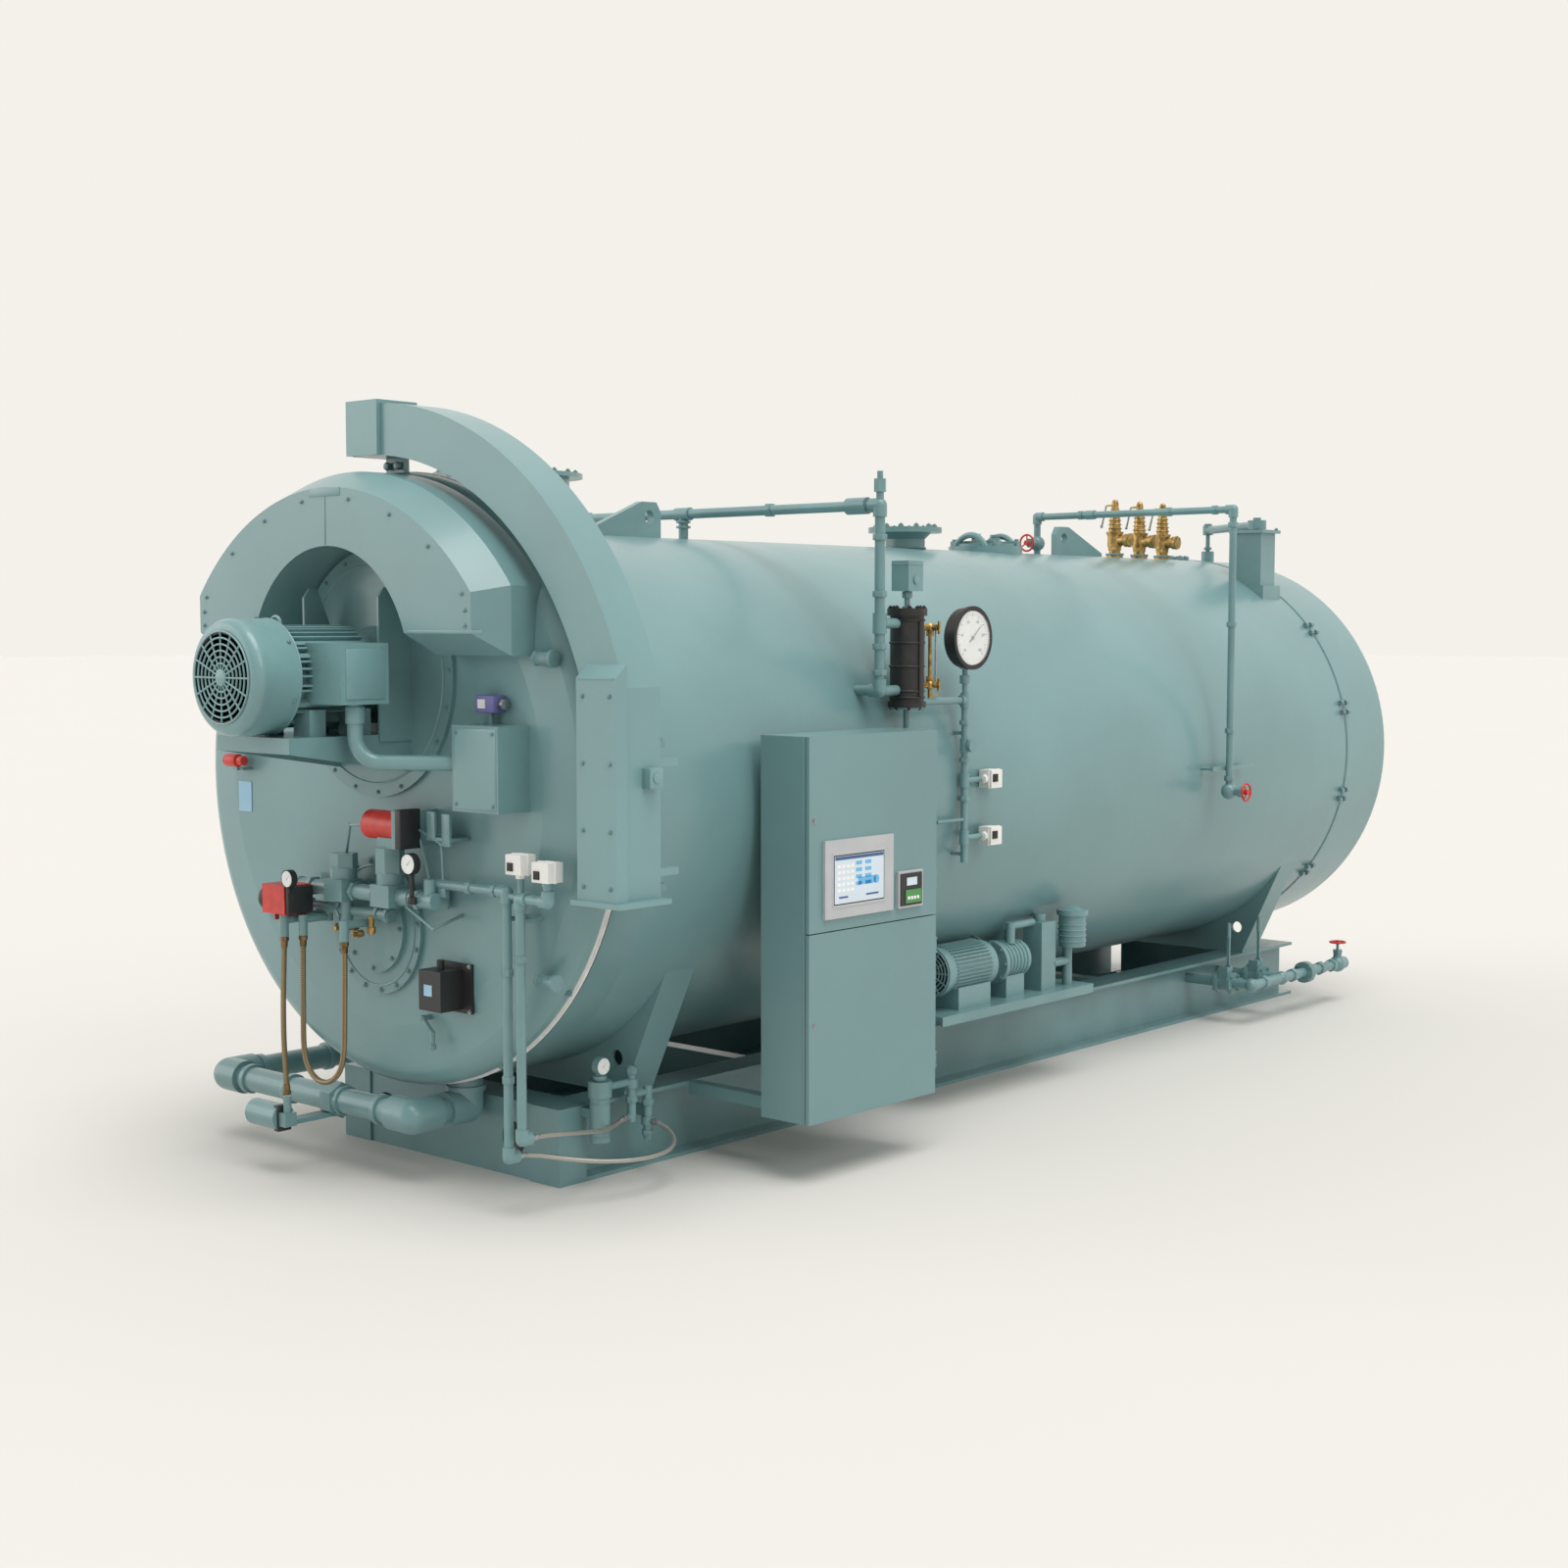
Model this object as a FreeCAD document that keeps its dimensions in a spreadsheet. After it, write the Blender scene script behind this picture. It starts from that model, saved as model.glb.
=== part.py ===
import FreeCAD, Part
import math
import os
import Sketcher
from FreeCAD import Placement, Rotation, Vector

# Packaged fire-tube steam boiler on a skid. Millimetres, +Z up.
# The origin is on the floor, under the boiler's centre line, at the middle of the
# front cross-beam's foot. The burner end faces -Y and the boiler runs back along +Y.

doc = FreeCAD.newDocument("industrial_boiler")
sheet = doc.addObject("Spreadsheet::Sheet", "Sizes")


# ---------------------------------------------------------------- sizes
class Size(float):
    """A length that remembers its spreadsheet formula, so objects can be bound to it."""

    def __new__(cls, value, formula):
        made = super().__new__(cls, value)
        made.formula = formula
        return made

    def __add__(self, other):
        return Size(float(self) + float(other), "(%s + %s)" % (formula(self), formula(other)))

    def __sub__(self, other):
        return Size(float(self) - float(other), "(%s - %s)" % (formula(self), formula(other)))

    def __mul__(self, other):
        return Size(float(self) * float(other), "(%s * %s)" % (formula(self), formula(other)))

    def __truediv__(self, other):
        return Size(float(self) / float(other), "(%s / %s)" % (formula(self), formula(other)))

    def __radd__(self, other):
        return Size(float(other) + float(self), "(%s + %s)" % (formula(other), formula(self)))

    def __rsub__(self, other):
        return Size(float(other) - float(self), "(%s - %s)" % (formula(other), formula(self)))

    def __rmul__(self, other):
        return Size(float(other) * float(self), "(%s * %s)" % (formula(other), formula(self)))

    def __neg__(self):
        return Size(-float(self), "(0 - %s)" % formula(self))


def formula(value):
    return value.formula if isinstance(value, Size) else "%.6f" % float(value)


def size(name, value):
    """Write one driving size to the sheet and return it."""
    row = len(sizes) + 1
    sheet.set("A%d" % row, name.replace("_", " "))
    sheet.set("B%d" % row, str(value))
    sheet.setAlias("B%d" % row, name)
    sizes[name] = value
    return Size(value, "Sizes." + name)


sizes = {}

# vessel
shell_radius = size("shell_radius", 1219)
shell_foot = size("shell_foot", 399)
axis_height = shell_radius + shell_foot
shell_length = size("shell_length", 6164)
furnace_radius = size("furnace_radius", 420)
furnace_height = size("furnace_height", 1110)
furnace_depth = size("furnace_depth", 1200)
tube_sheet_thickness = size("tube_sheet_thickness", 25)
tube_sheet_margin = size("tube_sheet_margin", 45)
# front smokebox collar and door
door_overhang = size("door_overhang", 116)
door_radius = shell_radius + door_overhang
door_rise = size("door_rise", 117)
door_height = axis_height + door_rise
collar_length = size("collar_length", 290)
collar_wall = size("collar_wall", 35)
gasket_thickness = size("gasket_thickness", 12)
door_gap = size("door_gap", 5)
door_depth = size("door_depth", 153)
door_rim = size("door_rim", 38)
door_margin = size("door_margin", 275)
door_face_radius = door_radius - door_margin
door_knuckle = size("door_knuckle", 100)
door_slope = size("door_slope", 25)
# skid
skid_allowance = size("skid_allowance", 336)
skid_length = shell_length + skid_allowance
skid_overhang = size("skid_overhang", 100)
skid_half_width = size("skid_half_width", 744)
skid_height = size("skid_height", 339)
rail_width = size("rail_width", 190)
rail_web = size("rail_web", 12)
rail_flange = size("rail_flange", 18)
rail_box_length = size("rail_box_length", 160)
beam_depth = size("beam_depth", 190)
beam_wall = size("beam_wall", 14)
beam_hole_radius = size("beam_hole_radius", 75)
# saddles
saddle_plate = size("saddle_plate", 20)
saddle_width = size("saddle_width", 180)
saddle_flange = size("saddle_flange", 16)
saddle_top = size("saddle_top", 1000)
saddle_hole_radius = size("saddle_hole_radius", 35)
front_saddle_place = size("front_saddle_place", 300)
rear_saddle_setback = size("rear_saddle_setback", 394)
rear_saddle_place = shell_length - rear_saddle_setback
# davit
arch_clearance = size("arch_clearance", 65)
arch_inner_radius = door_radius + arch_clearance
arch_width = size("arch_width", 220)
arch_outer_radius = arch_inner_radius + arch_width
arch_depth = size("arch_depth", 200)
arch_plate = size("arch_plate", 20)
arch_front = size("arch_front", 500)
leg_clearance = size("leg_clearance", 40)
leg_inner = door_radius + leg_clearance
leg_width = size("leg_width", 185)
leg_outer = leg_inner + leg_width
leg_foot = size("leg_foot", 1345)
pin_radius = size("pin_radius", 28)
pin_clearance = size("pin_clearance", 0.5)
pin_inset = size("pin_inset", 85)
pin_across = leg_inner + pin_inset
pin_setback = size("pin_setback", 240)
# burner
housing_depth = size("housing_depth", 260)
housing_chamfer = size("housing_chamfer", 150)
housing_front_radius = size("housing_front_radius", 1190)
housing_back_radius = size("housing_back_radius", 1262)
housing_centre = size("housing_centre", 1800)
throat_radius = size("throat_radius", 545)
blower_height = size("blower_height", 2200)
inlet_radius = size("inlet_radius", 530)
flange_plate = size("flange_plate", 20)
motor_radius = size("motor_radius", 165)
motor_length = size("motor_length", 440)
cowl_radius = size("cowl_radius", 240)
cowl_length = size("cowl_length", 220)
shelf_half_width = size("shelf_half_width", 250)
shelf_plate = size("shelf_plate", 15)
# pipework
steam_pipe_radius = size("steam_pipe_radius", 24)
small_pipe_radius = size("small_pipe_radius", 17)
fuel_pipe_radius = size("fuel_pipe_radius", 20)
gas_pipe_radius = size("gas_pipe_radius", 57)
hose_radius = size("hose_radius", 12)
air_hose_radius = size("air_hose_radius", 10)
column_radius = size("column_radius", 80)
column_standoff = size("column_standoff", 31)
column_across = shell_radius + column_standoff
gauge_radius = size("gauge_radius", 145)
wheel_radius = size("wheel_radius", 48)
# cabinet
cabinet_standoff = size("cabinet_standoff", 51)
cabinet_inner = shell_radius + cabinet_standoff
cabinet_depth = size("cabinet_depth", 252)
cabinet_width = size("cabinet_width", 890)
cabinet_place = size("cabinet_place", 610)
cabinet_foot = size("cabinet_foot", 270)
cabinet_height = size("cabinet_height", 1670)
cabinet_wall = size("cabinet_wall", 12)
cabinet_split = size("cabinet_split", 1095)
panel_door = size("panel_door", 18)
panel_gap = size("panel_gap", 5)
# rear door and its davit
rear_door_step = size("rear_door_step", 3)
rear_door_radius = shell_radius - rear_door_step
rear_door_length = size("rear_door_length", 586)
rear_door_knuckle = size("rear_door_knuckle", 70)
rear_gap = size("rear_gap", 10)
davit_across = size("davit_across", 650)
davit_setback = size("davit_setback", 144)
davit_place = shell_length - davit_setback
davit_rise = size("davit_rise", 153)
davit_height = axis_height + shell_radius + davit_rise

doc.recompute()

door_back = -(collar_length + gasket_thickness + door_gap)
door_face = door_back - door_depth
rail_inner = skid_half_width - rail_width
cabinet_face = cabinet_inner + cabinet_depth
seat_plane = door_face - flange_plate


# ---------------------------------------------------------------- helpers
AXES = {"x": Vector(1, 0, 0), "y": Vector(0, 1, 0), "z": Vector(0, 0, 1)}
made = {}


def fresh(kind, name):
    return doc.addObject(kind, name)


def put(thing, name, value):
    """Set a size property, bound to the sheet where the value comes from it."""
    setattr(thing, name, float(value))
    if isinstance(value, Size):
        thing.setExpression(name, formula(value))


def seat(thing, x, y, z, turn=None):
    """Place an object, its base bound to the sheet where it comes from it."""
    thing.Placement = Placement(Vector(float(x), float(y), float(z)), turn or Rotation())
    for letter, value in zip("xyz", (x, y, z)):
        if isinstance(value, Size):
            thing.setExpression("Placement.Base." + letter, formula(value))
    return thing


def heading(axis):
    """Rotation that turns +Z to the named axis, such as +x or -y."""
    way = AXES[axis[-1]] * (-1 if axis.startswith("-") else 1)
    return Rotation(Vector(0, 0, 1), way)


def block(x0, x1, y0, y1, z0, z1):
    box = fresh("Part::Box", "block")
    put(box, "Length", x1 - x0)
    put(box, "Width", y1 - y0)
    put(box, "Height", z1 - z0)
    return seat(box, x0, y0, z0)


def rod(x, y, z, axis, length, radius):
    made_rod = fresh("Part::Cylinder", "rod")
    put(made_rod, "Radius", radius)
    put(made_rod, "Height", length)
    return seat(made_rod, x, y, z, heading(axis))


def taper(x, y, z, axis, length, start, end):
    cone = fresh("Part::Cone", "taper")
    put(cone, "Radius1", start)
    put(cone, "Radius2", end)
    put(cone, "Height", length)
    return seat(cone, x, y, z, heading(axis))


def hexagon(x, y, z, axis, length, radius):
    prism = fresh("Part::Prism", "hexagon")
    prism.Polygon = 6
    put(prism, "Circumradius", radius)
    put(prism, "Height", length)
    return seat(prism, x, y, z, heading(axis))


def ball(x, y, z, radius):
    sphere = fresh("Part::Sphere", "ball")
    put(sphere, "Radius", radius)
    return seat(sphere, x, y, z)


def hoop(x, y, z, axis, radius, wire):
    torus = fresh("Part::Torus", "hoop")
    put(torus, "Radius1", radius)
    put(torus, "Radius2", wire)
    return seat(torus, x, y, z, heading(axis))


def fuse(pieces):
    """Join pieces a few at a time."""
    whole = pieces[0]
    for start in range(1, len(pieces), 5):
        joined = fresh("Part::MultiFuse", "joined")
        joined.Shapes = [whole] + pieces[start:start + 5]
        joined.Refine = False
        whole = joined
    return whole


def cut(base, tools):
    trimmed = fresh("Part::Cut", "trimmed")
    trimmed.Base = base
    trimmed.Tool = fuse(tools)
    return trimmed


def group(pieces):
    """Like pieces that don't touch, kept as separate solids under one name."""
    together = fresh("Part::Compound", "group")
    together.Links = pieces
    return together


def sub_part(label, thing):
    thing.Label = label
    made[label] = thing
    return thing


def slab(points, axis, start, thickness):
    """A flat plate from outline points, thick along one axis and starting at start."""
    orders = {"x": lambda a, b: Vector(0, a, b), "y": lambda a, b: Vector(a, 0, b),
              "z": lambda a, b: Vector(a, b, 0)}
    corners = [orders[axis](float(a), float(b)) for a, b in points]
    outline = fresh("Part::Feature", "outline")
    outline.Shape = Part.Face(Part.makePolygon(corners + corners[:1]))
    return raised(outline, axis, start, thickness)


def raised(outline, axis, start, thickness):
    plate = fresh("Part::Extrusion", "plate")
    plate.Base = outline
    plate.DirMode = "Custom"
    plate.Dir = AXES[axis]
    plate.Solid = True
    put(plate, "LengthFwd", thickness)
    places = {"x": (start, 0, 0), "y": (0, start, 0), "z": (0, 0, start)}
    return seat(plate, *places[axis])


def straight(first, last, radius):
    """A straight run of pipe between two points that differ along one axis."""
    for index, letter in enumerate("xyz"):
        run = last[index] - first[index]
        if abs(run) > 1e-6:
            sign = "+" if run > 0 else "-"
            length = run if run > 0 else first[index] - last[index]
            return rod(first[0], first[1], first[2], sign + letter, length, radius)
    raise ValueError("a pipe run has no length")


def pipe_run(points, radius):
    """Threaded pipe: straight runs, with a round fitting and two beads at each elbow."""
    pieces = [straight(a, b, radius) for a, b in zip(points, points[1:])]
    collar = radius * 1.35
    for before, corner, after in zip(points, points[1:], points[2:]):
        pieces.append(ball(corner[0], corner[1], corner[2], collar))
        for other in (before, after):
            near = Vector(*[float(v) for v in corner])
            way = (Vector(*[float(v) for v in other]) - near).normalize()
            letter = max("xyz", key=lambda name: abs(way.dot(AXES[name])))
            sign = "+" if way.dot(AXES[letter]) > 0 else "-"
            pieces.append(rod(corner[0], corner[1], corner[2], sign + letter,
                              radius * 2.2, collar))
    return pieces


def tee(x, y, z, axis, radius):
    """The thicker barrel of a tee or a union, centred on a point."""
    half = radius * 2.0
    centre = {"x": (x - half, y, z), "y": (x, y - half, z), "z": (x, y, z - half)}[axis]
    return rod(centre[0], centre[1], centre[2], "+" + axis, half * 2, radius * 1.35)


def turned(name, profile, x, y, z, axis="y"):
    """A body turned about the axis through (x, y, z).

    The profile lists (along, radius) corners, and an optional third number is the
    radius of a convex arc from that corner to the next."""
    body = fresh("PartDesign::Body", name)
    sketch = body.newObject("Sketcher::SketchObject", name + "_profile")
    plane = [item for item in body.Origin.OriginFeatures if item.Role == "YZ_Plane"][0]
    sketch.AttachmentSupport = [(plane, "")]
    sketch.MapMode = "FlatFace"
    count = len(profile)
    for index in range(count):
        here = profile[index]
        there = profile[(index + 1) % count]
        first = Vector(float(here[0]), float(here[1]), 0)
        last = Vector(float(there[0]), float(there[1]), 0)
        if len(here) > 2:
            middle = arc_middle(first, last, float(here[2]))
            sketch.addGeometry(Part.Arc(first, middle, last), False)
        else:
            sketch.addGeometry(Part.LineSegment(first, last), False)
    for index in range(count):
        sketch.addConstraint(Sketcher.Constraint(
            "Coincident", index, ends(sketch, index, profile)[1],
            (index + 1) % count, ends(sketch, (index + 1) % count, profile)[0]))
    for index, corner in enumerate(profile):
        point = ends(sketch, index, profile)[0]
        for kind, value, line in (("DistanceX", corner[0], -2), ("DistanceY", corner[1], -1)):
            if float(value) == 0:
                sketch.addConstraint(Sketcher.Constraint("PointOnObject", index, point, line))
                continue
            number = sketch.addConstraint(
                Sketcher.Constraint(kind, -1, 1, index, point, float(value)))
            if isinstance(value, Size):
                sketch.setExpression("Constraints[%d]" % number, formula(value))
        if len(corner) > 2:
            number = sketch.addConstraint(
                Sketcher.Constraint("Radius", index, float(corner[2])))
            if isinstance(corner[2], Size):
                sketch.setExpression("Constraints[%d]" % number, formula(corner[2]))
    turning = body.newObject("PartDesign::Revolution", name + "_turned")
    turning.Profile = sketch
    spin = [item for item in body.Origin.OriginFeatures if item.Role == "Y_Axis"][0]
    turning.ReferenceAxis = (spin, [""])
    turning.Angle = 360
    body.Tip = turning
    turn = Rotation(Vector(0, 1, 0), AXES[axis[-1]] * (-1 if axis.startswith("-") else 1))
    return seat(body, x, y, z, turn)


def arc_middle(first, last, radius):
    """Middle point of the convex arc of that radius between two corners."""
    chord = last - first
    half = chord.Length / 2
    rise = radius - math.sqrt(max(radius * radius - half * half, 0))
    normal = Vector(-chord.y, chord.x, 0).normalize()
    middle = (first + last) * 0.5
    outward = normal if normal.y > 0 else normal * -1
    return middle + outward * rise


def ends(sketch, index, profile):
    """Start and end point numbers of one edge; an arc drawn clockwise swaps them."""
    if len(profile[index]) == 2:
        return 1, 2
    start = sketch.getPoint(index, 1)
    corner = Vector(float(profile[index][0]), float(profile[index][1]), 0)
    return (1, 2) if start.sub(corner).Length < 1e-4 else (2, 1)


def swept(name, points, radius, report=True):
    """A round tube along straight runs and tangent arcs through the points."""
    route = [Vector(*[float(v) for v in point]) for point in points]
    edges = []
    radii = []
    start = route[0]
    for before, corner, after in zip(route, route[1:], route[2:]):
        into = (corner - before).normalize()
        out = (after - corner).normalize()
        shorter = min((corner - before).Length, (after - corner).Length)
        turn = into.getAngle(out)
        trim = 0.45 * shorter
        bend = trim / math.tan(turn / 2)
        radii.append(bend)
        first = corner - into * trim
        last = corner + out * trim
        centre_way = (out - into).normalize()
        middle = corner + centre_way * (bend / math.cos(turn / 2) - bend)
        edges.append(Part.LineSegment(start, first).toShape())
        edges.append(Part.Arc(first, middle, last).toShape())
        start = last
    edges.append(Part.LineSegment(start, route[-1]).toShape())
    path = Part.Wire(edges)
    ring = Part.makeCircle(float(radius), route[0], route[1] - route[0])
    tube = Part.Wire([ring])
    solid = path.makePipeShell([tube], True, True)
    expected = math.pi * float(radius) ** 2 * path.Length
    if abs(solid.Volume - expected) > 0.01 * expected:
        raise ValueError(name + " has the wrong volume")
    if report:
        print(name, "length %.0f" % path.Length, "arc radii",
              " ".join("%.0f" % bend for bend in radii))
    feature = fresh("Part::Feature", name)
    feature.Shape = solid
    return feature


# ---------------------------------------------------------------- skid
def make_rail(side):
    """A wide-flange rail with its front end boxed."""
    y0 = -skid_overhang
    y1 = skid_length - skid_overhang
    if side > 0:
        x0, x1 = rail_inner, skid_half_width
    else:
        x0, x1 = -skid_half_width, -rail_inner
    full = block(x0, x1, y0, y1, 0, skid_height)
    pocket = (rail_width - rail_web) / 2
    slot_start = rail_box_length - skid_overhang
    slot_top = skid_height - rail_flange
    slots = [block(x0 - 1, x0 + pocket, slot_start, y1 + 1, rail_flange, slot_top),
             block(x1 - pocket, x1 + 1, slot_start, y1 + 1, rail_flange, slot_top)]
    return cut(full, slots)


def make_front_crossbeam():
    """Channel between the boxed rail ends, with its two access holes."""
    y0 = -skid_overhang + 10
    full = block(-rail_inner, rail_inner, y0, y0 + beam_depth, 0, skid_height)
    hollow = block(-rail_inner - 1, rail_inner + 1, y0 + beam_wall, y0 + beam_depth + 1,
                   beam_wall, skid_height - beam_wall)
    holes = [rod(x, y0 - 10, skid_height / 2, "+y", 60, beam_hole_radius)
             for x in (-440, 440)]
    return sub_part("front_crossbeam", cut(full, [hollow] + holes))


def make_cross_members():
    """Channels that tie the rail webs, and the one that closes the back end."""
    web_face = skid_half_width - (rail_width + rail_web) / 2
    pieces = []
    for y in (1500, 3100, 4700):
        full = block(-web_face, web_face, y, y + 90, 60, 260)
        hollow = block(-web_face - 1, web_face + 1, y + 12, y + 91, 74, 246)
        pieces.append(cut(full, [hollow]))
    y1 = skid_length - skid_overhang
    full = block(-rail_inner, rail_inner, y1 - 100, y1, 0, skid_height)
    hollow = block(-rail_inner - 1, rail_inner + 1, y1 - 101, y1 - beam_wall,
                   beam_wall, skid_height - beam_wall)
    pieces.append(cut(full, [hollow]))
    return sub_part("cross_members", group(pieces))


def make_saddle(place):
    """Transverse plate, sloping side flanges and a base, cut to the shell's round."""
    foot = skid_half_width - 10
    reach = 1035
    base_top = skid_height + saddle_flange
    web = slab([(-foot, base_top), (foot, base_top), (reach - 16, saddle_top),
                (16 - reach, saddle_top)], "y", place, saddle_plate)
    pieces = [web, block(-foot, foot, place, place + saddle_width, skid_height, base_top)]
    for side in (-1, 1):
        pieces.append(slab([(side * (foot - 16), base_top - 4), (side * foot, base_top - 4),
                            (side * reach, saddle_top), (side * (reach - 16), saddle_top)],
                           "y", place, saddle_width))
    holes = [rod(x, place - 10, 500, "+y", saddle_plate + 20, saddle_hole_radius)
             for x in (-690, 690)]
    around = rod(0, place - 20, axis_height, "+y", saddle_width + 40, shell_radius)
    return cut(fuse(pieces), [around] + holes)


# ---------------------------------------------------------------- vessel
def make_shell():
    """The lagged vessel between its ends, with the furnace mouth in the front."""
    vessel = turned("vessel", [(0, 0), (0, shell_radius), (shell_length, shell_radius),
                               (shell_length, 0)], 0, 0, axis_height)
    mouth = rod(0, -1, furnace_height, "+y", furnace_depth + 1, furnace_radius)
    return sub_part("boiler_shell", cut(vessel, [mouth]))


def make_tube_sheet():
    plate = rod(0, -tube_sheet_thickness, axis_height, "+y", tube_sheet_thickness,
                shell_radius - tube_sheet_margin)
    mouth = rod(0, -tube_sheet_thickness - 1, furnace_height, "+y",
                tube_sheet_thickness + 2, furnace_radius)
    return sub_part("front_tube_sheet", cut(plate, [mouth]))


def collar_cone(inset, front, back):
    """The slanting cone between the door's circle and the shell's circle."""
    circles = []
    for radius, y, z in ((door_radius, -collar_length, door_height),
                         (shell_radius, 0, axis_height)):
        circle = fresh("Part::Circle", "circle")
        put(circle, "Radius", radius - inset)
        seat(circle, 0, y, z, heading("+y"))
        circles.append(circle)
    cone = fresh("Part::Loft", "cone")
    cone.Sections = circles
    cone.Solid = True
    cone.Ruled = True
    return cone


def make_collar():
    """Smokebox collar that widens from the shell to the larger front door."""
    return sub_part("front_collar", cut(collar_outside, [collar_cone(collar_wall, 0, 0)]))


def make_front_gasket():
    """The pale rope seal on the collar's front edge."""
    outer = rod(0, -collar_length - gasket_thickness, door_height, "+y",
                gasket_thickness, door_radius - 6)
    inner = rod(0, -collar_length - gasket_thickness - 1, door_height, "+y",
                gasket_thickness + 2, door_radius - collar_wall)
    return sub_part("front_gasket", cut(outer, [inner]))


# ---------------------------------------------------------------- front door
def make_front_door():
    """Dished door: a flat face, a sloping margin, a rounded knuckle and a rim."""
    return sub_part("front_door", turned("front_door_body", [
        (0, 0),
        (0, door_face_radius),
        (door_slope, door_radius - 90, door_knuckle * 1.15),
        (door_depth - door_rim, door_radius),
        (door_depth, door_radius),
        (door_depth, 0)], 0, door_face, door_height))


def arch_face(inset):
    """Outline of the davit's arch and leg, drawn in by the plate's thickness."""
    outer = float(arch_outer_radius) - inset
    inner = float(arch_inner_radius) + inset
    left = -90 + inset
    x0 = float(leg_inner) + inset
    x1 = float(leg_outer) - inset
    foot = float(leg_foot) + inset
    centre = float(door_height)

    def on(radius, x):
        return Vector(x, 0, centre + math.sqrt(radius * radius - x * x))

    def half_way(radius, first, last):
        angle = (math.atan2(first.z - centre, first.x) + math.atan2(last.z - centre, last.x)) / 2
        return Vector(radius * math.cos(angle), 0, centre + radius * math.sin(angle))

    a, b = on(outer, left), on(outer, x1)
    c, d = Vector(x1, 0, foot), Vector(x0, 0, foot)
    e, f = on(inner, x0), on(inner, left)
    edges = [Part.Arc(a, half_way(outer, a, b), b).toShape(),
             Part.LineSegment(b, c).toShape(), Part.LineSegment(c, d).toShape(),
             Part.LineSegment(d, e).toShape(),
             Part.Arc(e, half_way(inner, e, f), f).toShape(),
             Part.LineSegment(f, a).toShape()]
    outline = fresh("Part::Feature", "arch_outline")
    outline.Shape = Part.Face(Part.Wire(edges))
    return outline


def make_davit_arm():
    """Channel-section arch over the door, its leg, hinge cover, lugs and hangers."""
    outside = raised(arch_face(0), "y", -arch_front, arch_depth)
    inside = raised(arch_face(float(arch_plate)), "y", -arch_front + arch_plate, arch_depth)
    back = -arch_front + arch_depth
    head_foot = door_height + arch_inner_radius
    pieces = [cut(outside, [inside]),
              block(-110, 100, -arch_front - 20, back, head_foot, head_foot + 232),
              block(leg_inner - 15, leg_outer + 20, -arch_front - 60, -arch_front,
                    leg_foot, 2210),
              slab([(-arch_front - 60, 2210), (-arch_front, 2210), (-arch_front, 2262)],
                   "x", leg_inner - 15, leg_outer - leg_inner + 35),
              block(leg_inner - 40, leg_outer + 50, -arch_front - 75, back + 10,
                    leg_foot - 20, leg_foot)]
    for z in (1430, 1860):
        pieces.append(block(leg_inner, leg_outer, back - 20, -pin_setback + 40, z, z + 30))
    rim_back = door_back - 8
    rim_front = door_back - door_rim
    pieces.append(block(-60, 60, rim_front, rim_back, door_height + door_radius - 20,
                        head_foot + 5))
    for z in (1600, 1850):
        pieces.append(block(door_radius - 20, leg_inner + 5, rim_front, rim_back, z, z + 60))
    bore = rod(pin_across, -pin_setback, 1400, "+z", 520, pin_radius + pin_clearance)
    return sub_part("davit_arm", cut(fuse(pieces), [bore, made["front_door"]]))


def make_hinge_post():
    """Fixed hinge pin of the front davit, held by two lugs on the collar."""
    pieces = [rod(pin_across, -pin_setback, 1360, "+z", 600, pin_radius)]
    for z in (1360, 1930):
        pieces.append(block(shell_radius + 21, pin_across + 34, -pin_setback - 36, -pin_setback + 36,
                            z, z + 30))
    return sub_part("davit_hinge_post", cut(fuse(pieces), [collar_outside, made["boiler_shell"]]))


# ---------------------------------------------------------------- burner
def housing_section(y, radius, half_width, foot):
    """One horseshoe outline of the air housing, as a wire in the plane at y."""
    centre = float(housing_centre)
    middle = float(blower_height)
    throat = float(throat_radius)
    depth = float(y)
    shoulder = centre + math.sqrt(float(radius) ** 2 - half_width ** 2)
    lip = math.sqrt(throat ** 2 - (middle - foot) ** 2)
    a, b = Vector(-half_width, depth, shoulder), Vector(half_width, depth, shoulder)
    c, d = Vector(half_width, depth, foot), Vector(lip, depth, foot)
    e, f = Vector(-lip, depth, foot), Vector(-half_width, depth, foot)
    top = Vector(0, depth, centre + float(radius))
    crown = Vector(0, depth, middle + throat)
    wire = Part.Wire([Part.Arc(a, top, b).toShape(), Part.LineSegment(b, c).toShape(),
                      Part.LineSegment(c, d).toShape(), Part.Arc(d, crown, e).toShape(),
                      Part.LineSegment(e, f).toShape(), Part.LineSegment(f, a).toShape()])
    section = fresh("Part::Feature", "section")
    section.Shape = wire
    return section


def make_burner_housing():
    """Horseshoe air housing with its chamfered front edge."""
    front = door_face - housing_depth
    sections = [housing_section(front, housing_front_radius, 930, 2380),
                housing_section(front + housing_chamfer, housing_back_radius, 1000, 2290),
                housing_section(door_face + 60, housing_back_radius, 1000, 2290)]
    shells = []
    for first, last in zip(sections, sections[1:]):
        loft = fresh("Part::Loft", "housing")
        loft.Sections = [first, last]
        loft.Solid = True
        loft.Ruled = True
        shells.append(loft)
    return sub_part("burner_housing", cut(fuse(shells), [made["front_door"]]))


def make_door_plates():
    """Round plate that closes the fan's scroll, and the burner's plate low on the door."""
    plate = rod(0, seat_plane, blower_height, "+y", flange_plate, inlet_radius)
    boss = taper(0, seat_plane - 100, blower_height, "+y", 100, 130, 210)
    burner = [rod(0, seat_plane, furnace_height, "+y", flange_plate, 300),
              rod(0, seat_plane - 20, furnace_height, "+y", 21, 205)]
    return sub_part("door_plates", group([fuse([plate, boss]), fuse(burner)]))


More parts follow.
